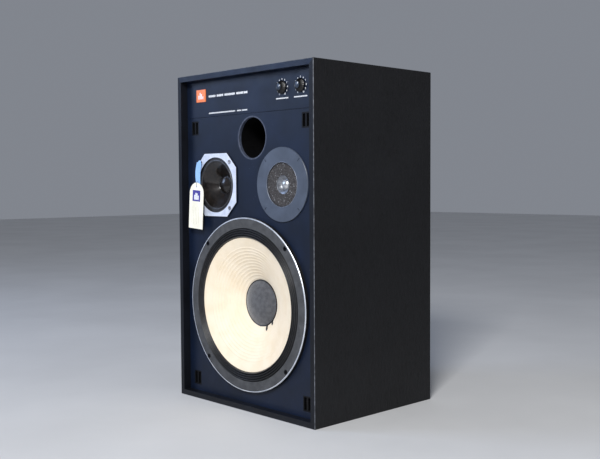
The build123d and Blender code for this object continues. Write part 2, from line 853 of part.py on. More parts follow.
with BuildPart() as mid_pole_piece:
    turn(
        mid,
        (0, mid_plate_front),
        (mid_coil_r - coil_gap, mid_plate_front),
        (mid_coil_r - coil_gap, mid_back_front),
        (mid_magnet_r - 4, mid_back_front),
        (mid_magnet_r - 4, mid_motor_back),
        (0, mid_motor_back),
    )
finish("mid_pole_piece", mid_pole_piece)

with BuildPart() as mid_rear_chamber:
    chamber_back = baffle_back + mid_chamber_length
    chamber_inner = mid_chamber_r - mid_chamber_skin
    turn(
        mid,
        (chamber_inner, baffle_back),
        (mid_chamber_r, baffle_back),
        (mid_chamber_r, chamber_back),
        (0, chamber_back),
        (0, chamber_back - mid_chamber_skin),
        (chamber_inner, chamber_back - mid_chamber_skin),
    )
finish("mid_rear_chamber", mid_rear_chamber)

with BuildPart() as mid_screws:
    four(mid, mid_screw_r, mid_screw_head_r, mid_front - mid_screw_head, mid_front)
    four(mid, mid_screw_r, mid_screw_shank_r, mid_front, screw_end)
    with BuildSketch(front_plane(mid_front - mid_screw_head, *mid)):
        with PolarLocations(mid_screw_r, 4, start_angle=45):
            RegularPolygon(1.6, 6)
    extrude(amount=-1.0, mode=Mode.SUBTRACT)
finish("mid_screws", mid_screws)

# Tweeter: a round plate over a shallow pan, with foam round a small cone
tweeter_front = baffle_recess - tweeter_plate
pan_floor = baffle_recess + tweeter_pan_deep
tweeter_rim = tweeter_front + tweeter_cone_sink
tweeter_neck = tweeter_rim + tweeter_cone_deep
tweeter_gap_front = pan_floor + 3
tweeter_gap_back = tweeter_gap_front + 4
tweeter_former_r = tweeter_coil_r + former_skin
tweeter_gap_r = tweeter_former_r + winding_skin + coil_gap

with BuildPart() as tweeter_face:
    floor_front = pan_floor - tweeter_pan_floor
    turn(
        tweeter,
        (tweeter_opening_r, tweeter_front),
        (tweeter_plate_r - 0.5, tweeter_front),
        (tweeter_plate_r, tweeter_front + 0.5),
        (tweeter_plate_r, baffle_recess),
        (tweeter_pan_r, baffle_recess),
        (tweeter_pan_r, pan_floor),
        (tweeter_cone_r + 1, pan_floor),
        (tweeter_cone_r + 1, floor_front),
        (tweeter_opening_r, floor_front),
    )
    four(tweeter, tweeter_screw_r, tweeter_screw_shank_r + 0.2, tweeter_front, baffle_recess, Mode.SUBTRACT)
    four(
        tweeter,
        tweeter_screw_r,
        tweeter_screw_head_r + 0.1,
        tweeter_front,
        tweeter_front + tweeter_screw_head,
        Mode.SUBTRACT,
    )
finish("tweeter_plate", tweeter_face)

with BuildPart() as tweeter_foam_ring:
    foam_front = tweeter_front + tweeter_foam_sink
    ring(tweeter, tweeter_cone_r + fit_gap, tweeter_opening_r, foam_front, floor_front)
finish("tweeter_foam_ring", tweeter_foam_ring)

with BuildPart() as tweeter_cone:
    shell(
        tweeter,
        (tweeter_cone_r, tweeter_rim),
        ((tweeter_cone_r + tweeter_former_r) / 2, (tweeter_rim + tweeter_neck) / 2 - 0.5),
        (tweeter_former_r, tweeter_neck),
        tweeter_cone_skin,
    )
finish("tweeter_cone", tweeter_cone)

with BuildPart() as tweeter_dust_cap:
    dome(tweeter, tweeter_coil_r + tweeter_cap_lap, tweeter_neck - 0.5, tweeter_cap_rise, 0.5)
finish("tweeter_dust_cap", tweeter_dust_cap)

with BuildPart() as tweeter_voice_coil:
    coil(tweeter, tweeter_coil_r, tweeter_neck - 0.3, tweeter_gap_front, tweeter_gap_back)
finish("tweeter_voice_coil", tweeter_voice_coil)

# The tweeter's magnet, plates and pole are glued into one block that hangs on the pan
with BuildPart() as tweeter_motor:
    pole_r = tweeter_coil_r - coil_gap
    motor_floor = pan_floor + tweeter_motor_deep - 5
    turn(
        tweeter,
        (tweeter_cone_r + 3, pan_floor),
        (tweeter_motor_r, pan_floor),
        (tweeter_motor_r, pan_floor + tweeter_motor_deep),
        (0, pan_floor + tweeter_motor_deep),
        (0, tweeter_gap_front),
        (pole_r, tweeter_gap_front),
        (pole_r, motor_floor),
        (tweeter_gap_r + 3, motor_floor),
        (tweeter_gap_r + 3, tweeter_gap_back),
        (tweeter_gap_r, tweeter_gap_back),
        (tweeter_gap_r, tweeter_gap_front),
        (tweeter_cone_r + 3, tweeter_gap_front),
    )
finish("tweeter_motor", tweeter_motor)

with BuildPart() as tweeter_screws:
    four(tweeter, tweeter_screw_r, tweeter_screw_head_r, tweeter_front, tweeter_front + tweeter_screw_head)
    shank_front = tweeter_front + tweeter_screw_head
    four(tweeter, tweeter_screw_r, tweeter_screw_shank_r, shank_front, screw_end)
    with BuildSketch(front_plane(tweeter_front, *tweeter)):
        with PolarLocations(tweeter_screw_r, 4, start_angle=45):
            Rectangle(2 * tweeter_screw_head_r, 0.9)
    extrude(amount=-0.8, mode=Mode.SUBTRACT)
finish("tweeter_screws", tweeter_screws)

# Crossover board on four stand-offs, with its parts on the face towards the drivers
board_back = back_front - standoff
board_front = board_back - board_thick
with BuildPart() as crossover_board:
    with BuildSketch(front_plane(board_front, z=board_rise)):
        Rectangle(board_width, board_height)
    extrude(amount=-board_thick)
    with BuildSketch(front_plane(board_back, z=board_rise)):
        with GridLocations(board_width - 2 * standoff_inset, board_height - 2 * standoff_inset, 2, 2):
            Circle(standoff_r)
    extrude(amount=-standoff)
finish("crossover_board", crossover_board)

with BuildPart() as crossover_capacitors:
    capacitor_axis = front_y + board_front - capacitor_r - 0.2
    capacitor_low = board_rise - board_height / 2 + capacitor_rise
    for capacitor_x in capacitor_xs:
        with BuildSketch(Plane((capacitor_x, capacitor_axis, capacitor_low))):
            Circle(capacitor_r)
        extrude(amount=capacitor_length)
finish("crossover_capacitors", crossover_capacitors)

with BuildPart() as crossover_inductors:
    for inductor_x, inductor_z in inductor_spots:
        spot = (inductor_x, board_rise + inductor_z)
        ring(spot, inductor_bore_r, inductor_r, board_front - inductor_thick, board_front)
finish("crossover_inductors", crossover_inductors)

# Terminal cup let into the back, with two spring-loaded push buttons
cup_rim = case_depth - back_inset + cup_flange_thick
cup_floor = cup_rim - cup_deep
button_xs = {"red": button_pitch / 2, "black": -button_pitch / 2}
with BuildPart() as terminal_cup:
    with BuildSketch(front_plane(case_depth - back_inset, z=cup_rise)):
        outer_width, outer_height = cup_width + 2 * cup_skin, cup_height + 2 * cup_skin
        RectangleRounded(outer_width + 2 * cup_flange, outer_height + 2 * cup_flange, cup_flange_corner)
    extrude(amount=-cup_flange_thick)
    with BuildSketch(front_plane(cup_floor - cup_skin, z=cup_rise)):
        Rectangle(outer_width, outer_height)
    extrude(amount=-(case_depth - back_inset - cup_floor + cup_skin))
    with BuildSketch(front_plane(cup_floor, z=cup_rise)):
        RectangleRounded(cup_width, cup_height, cup_corner)
    extrude(amount=-cup_deep, mode=Mode.SUBTRACT)
    with BuildSketch(front_plane(cup_floor - cup_skin, z=cup_rise)):
        with Locations(*[(x, 0) for x in button_xs.values()]):
            Circle(button_r + 2 * play)
        with Locations(*[(x, -wire_hole_drop) for x in button_xs.values()]):
            Circle(wire_hole_r)
    extrude(amount=-cup_skin, mode=Mode.SUBTRACT)
finish("terminal_cup", terminal_cup)

for button_name, button_x in button_xs.items():
    with BuildPart() as terminal_button:
        button_tip = cup_floor + button_proud
        collar_back = cup_floor - cup_skin
        turn(
            (button_x, cup_rise),
            (0, button_tip - button_length),
            (button_r - button_neck, button_tip - button_length),
            (button_r - button_neck, collar_back - button_collar_thick),
            (button_r + button_collar, collar_back - button_collar_thick),
            (button_r + button_collar, collar_back),
            (button_r, collar_back),
            (button_r, button_tip - button_edge),
            (button_r - button_edge, button_tip),
            (0, button_tip),
        )
    finish(f"{button_name}_terminal_button", terminal_button)

with BuildPart() as rating_plate:
    with BuildSketch(front_plane(case_depth - back_inset, z=plate_rise)):
        RectangleRounded(plate_width, plate_height, plate_corner)
    extrude(amount=-plate_thick)
finish("rating_plate", rating_plate)

# Internal wiring, held at both ends: from the cup to the board and from the board to each driver
with BuildPart() as internal_wiring:
    solder_y = front_y + board_front
    board_low = board_rise - board_height / 2
    board_high = board_rise + board_height / 2
    cup_back_y = front_y + cup_floor - cup_skin
    leg_r = woofer_wall_r - 35
    leg_back_start = woofer_wall_end + woofer_wall_back
    leg_back_drop = woofer_leg_drop + woofer_leg_back - woofer_wall_back
    leg_back_share = (woofer_wall_r - leg_r + wire_r / 2) / (woofer_wall_r - woofer_pot_r)
    leg_back_y = front_y + leg_back_start + leg_back_drop * leg_back_share
    chamber_back_y = front_y + baffle_back + mid_chamber_length
    tweeter_back_y = front_y + pan_floor + tweeter_motor_deep
    housing_back_y = front_y + housing_front + housing_length
    stub = 12  # every wire leaves and meets a face squarely
    routes = [
        [
            (0, cup_back_y, cup_rise + 18),
            (0, cup_back_y - stub, cup_rise + 18),
            (8, cup_back_y - 32, cup_rise + 50),
            (22, solder_y - 28, board_low - 14),
            (30, solder_y - stub, board_low + 8),
            (30, solder_y, board_low + 8),
        ],
        [
            (40, solder_y, board_low + 12),
            (40, solder_y - stub, board_low + 12),
            (46, solder_y - 45, board_low + 4),
            (70, 20, board_low - 20),
            (96, -40, woofer_rise + 22),
            (leg_r, leg_back_y + 22, woofer_rise + 3),
            (leg_r, leg_back_y, woofer_rise),
        ],
        [
            (-76, solder_y, board_high - 30),
            (-76, solder_y - stub, board_high - 30),
            (-79, solder_y - 45, board_high - 25),
            (-84, 20, mid[1] - 16),
            (mid_x, chamber_back_y + stub, mid[1] - 4),
            (mid_x, chamber_back_y, mid[1] - 4),
        ],
        [
            (74, solder_y, board_high - 24),
            (74, solder_y - stub, board_high - 24),
            (78, solder_y - 45, board_high - 16),
            (88, 10, tweeter[1] - 12),
            (tweeter_x + 2, -50, tweeter[1] - 2),
            (tweeter_x, tweeter_back_y + stub, tweeter[1]),
            (tweeter_x, tweeter_back_y, tweeter[1]),
        ],
        [
            (60, solder_y, board_high - 8),
            (60, solder_y - stub, board_high - 8),
            (66, solder_y - 40, board_high + 14),
            (86, 40, tweeter[1] + 74),
            (110, -20, knob_z - 23),
            (knob_xs["high"] - 4, -70, knob_z - 3),
            (knob_xs["high"], housing_back_y + stub, knob_z),
            (knob_xs["high"], housing_back_y, knob_z),
        ],
    ]
    for route in routes:
        wire(route, wire_r)
finish("internal_wiring", internal_wiring)

# Hang tag and the two strands of its ribbon loop, which hangs on the midrange's upper left screw
screw_reach_x = mid_screw_r * math.cos(math.radians(45))
ribbon_screw = (mid_x - screw_reach_x, mid[1] + screw_reach_x)
tag_hole = (ribbon_screw[0] + tag_hole_offset[0], ribbon_screw[1] + tag_hole_offset[1])
lean = math.radians(tag_lean)
tag_plane = Plane(
    origin=(tag_hole[0], front_y + tag_front + tag_thick, tag_hole[1]),
    x_dir=(math.cos(lean), 0, -math.sin(lean)),
    z_dir=(0, -1, 0),
)
with BuildPart() as hang_tag:
    with BuildSketch(tag_plane):
        tag_top = tag_hole_drop
        tag_low = tag_hole_drop - tag_height
        with BuildLine():
            arch = ThreePointArc(
                (-tag_width / 2, tag_top - tag_shoulder),
                (0, tag_top),
                (tag_width / 2, tag_top - tag_shoulder),
            )
            Polyline(arch @ 1, (tag_width / 2, tag_low), (-tag_width / 2, tag_low), arch @ 0)
        make_face()
        Circle(tag_hole_r, mode=Mode.SUBTRACT)
    extrude(amount=tag_thick)
finish("hang_tag", hang_tag)

# Points are (across, depth, up) from the screw; both strands end behind the tag's hole
ribbon_strands = {
    "left strand": [
        (-3.0, 7.8, 0.5),
        (-5.6, 7.6, -7.0),
        (-7.3, 7.4, -16.5),
        (-7.0, 7.1, -26.0),
        (-5.2, 6.8, -35.0),
        (-4.0, 6.5, -43.0),
    ],
    "right strand": [
        (1.6, 7.8, -0.5),
        (0.1, 7.6, -9.0),
        (-1.4, 7.4, -18.0),
        (-1.5, 7.1, -27.0),
        (-1.2, 6.8, -35.5),
        (-0.6, 6.5, -43.0),
    ],
}
with BuildPart() as tag_ribbon:
    for strand_name, strand in ribbon_strands.items():
        screw_x, screw_z = ribbon_screw
        strand_points = [(screw_x + x, front_y + depth, screw_z + z) for x, depth, z in strand]
        strand_radii = wire(strand_points, ribbon_width / 2)
        print(strand_name, "radii in mm:", [round(radius, 1) for radius in strand_radii])
finish("tag_ribbon", tag_ribbon)
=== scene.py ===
"""Visible pieces and finishes of a three-way monitor loudspeaker, built round its packed frame."""

import json
import math

import bmesh
import bpy
from mathutils import Matrix, Vector, noise

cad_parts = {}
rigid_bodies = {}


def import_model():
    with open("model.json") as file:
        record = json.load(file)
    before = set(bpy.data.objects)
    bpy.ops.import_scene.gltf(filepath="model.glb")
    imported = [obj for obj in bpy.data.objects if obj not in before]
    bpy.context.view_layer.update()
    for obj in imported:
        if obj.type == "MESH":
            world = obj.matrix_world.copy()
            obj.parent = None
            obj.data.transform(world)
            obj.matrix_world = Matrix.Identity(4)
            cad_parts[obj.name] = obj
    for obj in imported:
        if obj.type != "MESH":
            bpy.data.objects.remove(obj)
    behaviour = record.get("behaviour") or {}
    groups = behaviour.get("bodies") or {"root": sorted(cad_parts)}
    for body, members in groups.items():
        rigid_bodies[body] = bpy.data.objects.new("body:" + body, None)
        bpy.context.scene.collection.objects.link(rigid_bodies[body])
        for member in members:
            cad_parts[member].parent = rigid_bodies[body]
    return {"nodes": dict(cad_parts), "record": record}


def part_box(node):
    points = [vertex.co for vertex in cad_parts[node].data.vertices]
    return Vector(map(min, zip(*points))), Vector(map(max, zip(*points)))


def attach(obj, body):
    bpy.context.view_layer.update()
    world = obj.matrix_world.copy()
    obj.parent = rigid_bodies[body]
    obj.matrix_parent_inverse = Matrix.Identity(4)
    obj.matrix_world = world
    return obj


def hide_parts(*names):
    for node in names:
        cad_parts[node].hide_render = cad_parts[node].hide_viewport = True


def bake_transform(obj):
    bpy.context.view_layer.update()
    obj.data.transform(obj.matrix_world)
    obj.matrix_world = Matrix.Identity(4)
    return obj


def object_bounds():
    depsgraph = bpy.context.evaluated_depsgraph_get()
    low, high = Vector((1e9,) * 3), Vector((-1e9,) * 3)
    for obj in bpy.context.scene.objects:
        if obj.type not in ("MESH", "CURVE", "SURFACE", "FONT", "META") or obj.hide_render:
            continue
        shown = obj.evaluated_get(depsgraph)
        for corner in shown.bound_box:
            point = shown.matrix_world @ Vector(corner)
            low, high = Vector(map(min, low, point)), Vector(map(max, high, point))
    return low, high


bl_info = {
    "name": "Monitor loudspeaker",
    "version": (1, 0, 0),
    "blender": (4, 5, 0),
    "location": "3D View > Sidebar > Loudspeaker",
    "description": "Builds the visible pieces and the finishes of a three-way monitor loudspeaker",
    "category": "Object",
}

for leftover in list(bpy.data.objects):
    bpy.data.objects.remove(leftover)

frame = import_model()
cad_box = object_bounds()

MM = 0.001
CASE_FRONT = cad_box[0].y  # depths are counted backwards from the front edges, in mm
SLOT_OF = {piece["node"]: piece["material_slot"] for piece in frame["record"]["subparts"]}


# Places and sizes read from the frame -------------------------------------------------


def centre(node):
    """Middle of a node seen from the front, as (x, z) in metres."""
    low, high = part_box(node)
    return ((low.x + high.x) / 2, (low.z + high.z) / 2)


def radius(node):
    """Half the width of a node in mm."""
    low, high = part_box(node)
    return (high.x - low.x) / 2 / MM


def front(node):
    """Depth of a node's foremost point in mm."""
    return (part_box(node)[0].y - CASE_FRONT) / MM


def back(node):
    """Depth of a node's rearmost point in mm."""
    return (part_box(node)[1].y - CASE_FRONT) / MM


def place(x, depth, z, middle=(0.0, 0.0)):
    """Row-frame point in metres from mm, where x and z are counted from a middle."""
    return Vector((middle[0] + x * MM, CASE_FRONT + depth * MM, middle[1] + z * MM))


# Colours and shader nodes -------------------------------------------------------------


def linear(code):
    """Linear RGBA of an sRGB hex code such as "#1b2c4d"."""
    values = [int(code[i : i + 2], 16) / 255 for i in (1, 3, 5)]
    return [v / 12.92 if v <= 0.04045 else ((v + 0.055) / 1.055) ** 2.4 for v in values] + [1.0]


def per(size):
    """Texture scale that makes one feature about this many mm wide."""
    return 1 / (size * MM)


def node(tree, kind, inputs=None, stops=None, **settings):
    """Adds a shader node; inputs that are sockets are linked, and stops fill a colour ramp."""
    made = tree.nodes.new(kind)
    for key, value in settings.items():
        setattr(made, key, value)
    for key, value in (inputs or {}).items():
        if isinstance(value, bpy.types.NodeSocket):
            tree.links.new(value, made.inputs[key])
        else:
            made.inputs[key].default_value = value
    if stops:
        ramp = made.color_ramp
        while len(ramp.elements) < len(stops):
            ramp.elements.new(1.0)
        for element, (position, colour) in zip(ramp.elements, stops):
            element.position = position
            element.color = colour
    return made


def start_material(name, colour, **sockets):
    """A new material with its base colour and the shader's own settings."""
    material = bpy.data.materials.new(name)
    material.use_nodes = True
    shader = material.node_tree.nodes["Principled BSDF"]
    shader.inputs["Base Color"].default_value = linear(colour)
    for key, value in sockets.items():
        shader.inputs[key.replace("_", " ")].default_value = value
    return material, material.node_tree, shader


def noise_level(tree, size, detail=3.0, stretch=None, roughness=0.55):
    """A noise value whose blobs are about size mm, or three sizes in mm where it is stretched."""
    spot = node(tree, "ShaderNodeTexCoord").outputs["Object"]
    if stretch:
        spot = node(
            tree, "ShaderNodeMapping", {"Vector": spot, "Scale": [per(s) for s in stretch]}
        ).outputs["Vector"]
    scale = 1.0 if stretch else per(size)
    return node(
        tree,
        "ShaderNodeTexNoise",
        {"Vector": spot, "Scale": scale, "Detail": detail, "Roughness": roughness},
    ).outputs["Fac"]


def two_colours(tree, shader, level, dark, light, low=0.35, high=0.65):
    """Base colour that goes from dark to light with a level, and returns its socket."""
    ramp = node(
        tree,
        "ShaderNodeValToRGB",
        {"Fac": level},
        stops=[(low, linear(dark)), (high, linear(light))],
    )
    tree.links.new(ramp.outputs["Color"], shader.inputs["Base Color"])
    return ramp.outputs["Color"]


def rough_between(tree, shader, level, low, high):
    """Roughness that follows a level from low to high."""
    spread = node(
        tree,
        "ShaderNodeMapRange",
        {"Value": level, "From Min": 0.3, "From Max": 0.7, "To Min": low, "To Max": high},
    )
    tree.links.new(spread.outputs["Result"], shader.inputs["Roughness"])


def relief(tree, shader, level, height, strength=1.0, under=None):
    """Bump of a height in mm that follows a level, over another bump if one is given."""
    inputs = {"Height": level, "Distance": height * MM, "Strength": strength}
    if under:
        inputs["Normal"] = under
    bump = node(tree, "ShaderNodeBump", inputs)
    tree.links.new(bump.outputs["Normal"], shader.inputs["Normal"])
    return bump.outputs["Normal"]


def product(tree, first, second, **settings):
    """Two levels, or a level and a number, multiplied."""
    inputs = {0: first, 1: second}
    return node(tree, "ShaderNodeMath", inputs, operation="MULTIPLY", **settings).outputs[0]


def over(tree, shader, base, level, colour, amount=1.0):
    """Lays one more colour over the base colour where a level is high."""
    share = product(tree, level, amount, use_clamp=True)
    mixed = node(tree, "ShaderNodeMix", {0: share, 6: base, 7: linear(colour)}, data_type="RGBA")
    tree.links.new(mixed.outputs[2], shader.inputs["Base Color"])
    return mixed.outputs[2]


def between(tree, level, low, high):
    """A level stretched so that low becomes 0 and high becomes 1."""
    return node(
        tree, "ShaderNodeMapRange", {"Value": level, "From Min": low, "From Max": high}
    ).outputs["Result"]


# Finishes -----------------------------------------------------------------------------


def layered(name, colour, dark, patch, layers, rough, bump, span=(0.35, 0.65), **sockets):
    """A finish that goes from dark to its colour in soft patches, with layers of fleck over them.

    patch, and the first item of each layer, of rough and of bump, is a noise: (size in mm, detail,
    three sizes in mm where it is stretched).
    """
    material, tree, shader = start_material(name, colour, **sockets)
    base = two_colours(tree, shader, noise_level(tree, *patch), dark, colour, *span)
    for fleck, low, high, tint, amount in layers:
        level = between(tree, noise_level(tree, *fleck), low, high)
        base = over(tree, shader, base, level, tint, amount)
    if rough:
        rough_between(tree, shader, noise_level(tree, *rough[0]), *rough[1:])
    relief(tree, shader, noise_level(tree, *bump[0]), bump[1])
    return material


def plain_finish(name, colour, dark, patch, grain, height, rough, **sockets):
    """A finish with soft patches of a darker colour, a fine grain and a roughness that varies."""
    spread = ((grain,), rough - 0.06, rough + 0.06)
    return layered(name, colour, dark, (patch,), (), spread, ((grain,), height), **sockets)


def stained_ash(name, along):
    """Ash veneer, stained black and oiled: open pores and a faint cathedral figure along the grain."""
    look = bpy.context.scene.speaker_case
    material, tree, shader = start_material(name, look.veneer, IOR=1.5, Specular_IOR_Level=0.25)
    across = look.pore_width / MM
    run = across * 38
    sizes = {"X": (run, across, across), "Z": (across, across, run)}[along]
    pores = noise_level(tree, 0, 2.0, sizes, 0.5)
    figure_sizes = [s * 9 if s == across else s * 3.2 for s in sizes]
    bends = noise_level(tree, 0, 2.0, figure_sizes, 0.5)
    # Growth rings: bands about 11 mm apart, bent into long arches
    waves = product(tree, bends, 90.0)
    rings = node(tree, "ShaderNodeMath", {0: waves}, operation="SINE").outputs[0]
    base = two_colours(tree, shader, pores, look.pore, look.veneer, 0.38, 0.56)
    base = over(tree, shader, base, between(tree, rings, 0.35, 1.0), look.ring, 0.55)
    over(tree, shader, base, between(tree, noise_level(tree, 160), 0.45, 0.75), look.worn, 0.35)
    rough_between(tree, shader, pores, 0.62, 0.42)
    deep = relief(tree, shader, between(tree, pores, 0.36, 0.5), 0.18)
    relief(tree, shader, rings, 0.02, 1.0, deep)
    return material


def sprayed_navy(name):
    """Navy lacquer sprayed on board and metal: satin, with a fine orange peel and a few pale scuffs."""
    look = bpy.context.scene.speaker_baffle
    material, tree, shader = start_material(name, look.paint, IOR=1.5, Specular_IOR_Level=0.28)
    base = two_colours(tree, shader, noise_level(tree, 55), look.paint_dark, look.paint)
    specks = between(tree, noise_level(tree, 2.2, 2.0), 0.735, 0.78)
    near = between(tree, noise_level(tree, 45, 2.0), 0.52, 0.62)
    over(tree, shader, base, product(tree, specks, near), look.scuff, 0.5)
    peel = noise_level(tree, 0.9, 2.0)
    rough_between(tree, shader, noise_level(tree, 18), 0.36, 0.46)
    relief(tree, shader, peel, 0.02)
    return material


def coated_paper():
    """Felted paper cone with a brushed-on cream coating: matt, with pulp fibres and soft patches."""
    look = bpy.context.scene.speaker_woofer
    fibres = (1.4, 4.0)
    thin = [(fibres, 0.6, 0.8, look.cone_dark, 0.4)]
    colours = (look.cone, look.cone_dark)
    spread, bump = (fibres, 0.62, 0.74), (fibres, 0.08)
    return layered("cream_coated_paper", *colours, (26,), thin, spread, bump, (0.25, 0.6), IOR=1.47)


def doped_cloth(name, colour, light, shine):
    """Linen pleats soaked in tacky black dope: the 0.8 mm weave just shows through a soft shine."""
    material, tree, shader = start_material(name, colour, IOR=1.5, Coat_Weight=shine, Coat_Roughness=0.3)
    base = two_colours(tree, shader, noise_level(tree, 9), colour, light)
    over(tree, shader, base, between(tree, noise_level(tree, 2.0, 4.0), 0.62, 0.8), "#6b6b6e", 0.25)
    spot = node(tree, "ShaderNodeTexCoord").outputs["Object"]
    threads = [
        node(
            tree,
            "ShaderNodeTexWave",
            {"Vector": spot, "Scale": per(0.8) / (2 * math.pi), "Distortion": 0.6},
            bands_direction=way,
        ).outputs["Fac"]
        for way in ("X", "Z")
    ]
    weave = product(tree, *threads)
    rough_between(tree, shader, weave, 0.42, 0.6)
    relief(tree, shader, weave, 0.06)
    return material


def pressed_felt():
    """Dust cap of pressed wool felt: soft grey nap that catches light at its edge, with dust on it."""
    look = bpy.context.scene.speaker_woofer
    lint = [((0, 3.0, (0.5, 0.5, 2.2)), 0.6, 0.8, "#8d8d90", 0.35)]
    nap = {"Roughness": 0.95, "IOR": 1.45, "Sheen_Weight": 0.35, "Sheen_Roughness": 0.5}
    bump = ((0.7, 4.0), 0.25)
    return layered("charcoal_pressed_felt", look.cap, look.cap_dark, (7,), lint, None, bump, **nap)


def fibre_gasket():
    """Die-cut grey fibre gasket: dense and matt, with fine pale fibres pressed flat."""
    look = bpy.context.scene.speaker_woofer
    fibres = (0.9, 4.0)
    flecks = [(fibres, 0.55, 0.75, "#6f7073", 0.5), ((3.0,), 0.66, 0.74, "#8b8c8e", 0.5)]
    colours = (look.gasket, look.gasket_dark)
    spread, bump = (fibres, 0.7, 0.85), (fibres, 0.12)
    return layered("grey_fibre_gasket", *colours, (14,), flecks, spread, bump, IOR=1.48)


def cast_black():
    """Cast aluminium in baked black crackle enamel: deep black with a sandy texture of 0.6 mm."""
    return plain_finish("black_crackle_casting", "#17171a", "#0c0c0e", 8, 0.6, 0.06, 0.5, IOR=1.5)


def turned_rim():
    """Aluminium turned on a lathe: bright metal with rings 0.25 mm apart that stretch its highlight."""
    material, tree, shader = start_material("turned_aluminium_rim", "#eef1f6", Metallic=0.8)
    two_colours(tree, shader, noise_level(tree, 22), "#d3d8e0", "#f4f6fa")
    fine = noise_level(tree, 0.25, 2.0)
    rough_between(tree, shader, fine, 0.42, 0.54)
    relief(tree, shader, fine, 0.01)
    return material


def speckled_alloy():
    """Die-cast aluminium in silver hammer paint: pale blue-grey with fine light and dark flakes."""
    look = bpy.context.scene.speaker_mid
    grain = (0.8, 3.0)
    flakes = [(grain, 0.62, 0.72, "#f4f7ff", 0.7), (grain, 0.36, 0.26, "#8f99ab", 0.5)]
    colours = (look.frame, look.frame_dark)
    spread, bump = (grain, 0.34, 0.5), (grain, 0.05)
    return layered("silver_hammer_casting", *colours, (12,), flakes, spread, bump, Metallic=0.12)


def glossy_paper(name, colour, light, rough):
    """Black paper cone brushed with clear dope: glossy, with pulp fibres under the shine."""
    material, tree, shader = start_material(
        name, colour, IOR=1.5, Specular_IOR_Level=0.15, Coat_Weight=0.8, Coat_Roughness=0.09
    )
    base = two_colours(tree, shader, noise_level(tree, 5), colour, light, 0.4, 0.7)
    fibres = noise_level(tree, 0.8, 4.0)
    over(tree, shader, base, between(tree, fibres, 0.6, 0.8), "#5a5450", 0.4)
    rough_between(tree, shader, fibres, rough - 0.06, rough + 0.08)
    relief(tree, shader, fibres, 0.05)
    return material


def open_foam():
    """Reticulated foam, dark with age: a net of struts round 1.1 mm cells, dusty on top."""
    look = bpy.context.scene.speaker_tweeter
    material, tree, shader = start_material("dark_open_cell_foam", look.foam, Roughness=0.9, IOR=1.48)
    spot = node(tree, "ShaderNodeTexCoord").outputs["Object"]
    cells = node(
        tree,
        "ShaderNodeTexVoronoi",
        {"Vector": spot, "Scale": per(1.1)},
        feature="DISTANCE_TO_EDGE",
    ).outputs["Distance"]
    struts = between(tree, cells, 0.22, 0.02)
    base = two_colours(tree, shader, noise_level(tree, 4, 4.0), look.foam_dark, look.foam, 0.4, 0.62)
    base = over(tree, shader, base, struts, look.foam_strut, 0.45)
    over(tree, shader, base, between(tree, noise_level(tree, 2.4, 3.0), 0.62, 0.7), "#c6c8cc", 0.6)
    relief(tree, shader, struts, 0.4)
    return material


def spun_foil(name, light, dark):
    """Pressed aluminium foil, dulled by handling: grey metal with small creases in its highlight."""
    creases, spread = ((1.2, 3.0), 0.08), ((1.5,), 0.28, 0.42)
    return layered(name, light, dark, (6,), (), spread, creases, Metallic=0.85)


def woven_satin():
    """Satin ribbon: fine warp threads along its length give a silky line of light."""
    look = bpy.context.scene.speaker_tag
    threads = (0, 2.0, (0.3, 0.3, 6.0))  # drawn twice the width of real threads
    silk = {"IOR": 1.5, "Sheen_Weight": 0.5, "Sheen_Roughness": 0.3}
    colours = (look.ribbon, look.ribbon_dark)
    spread, bump = (threads, 0.34, 0.5), (threads, 0.05)
    return layered("blue_woven_satin", *colours, threads, (), spread, bump, **silk)


def coated_card():
    """Cream card with a matt clay coating: smooth, with faint fibre flecks."""
    colours = (bpy.context.scene.speaker_tag.card, "#f3eedb")
    fibres = (1.6, 3.0)
    flecks = [(fibres, 0.68, 0.78, "#cfc8ac", 0.5)]
    spread, bump = (fibres, 0.5, 0.62), (fibres, 0.02)
    return layered("cream_coated_card", *colours, (20,), flecks, spread, bump, (0.3, 0.6), IOR=1.5)


def metal(name, light, dark, rough, grain=0.4):
    """A bright metal part, turned or plated: even colour with fine tool marks in its shine."""
    return plain_finish(name, light, dark, 6, grain, 0.01, rough, Metallic=1.0)


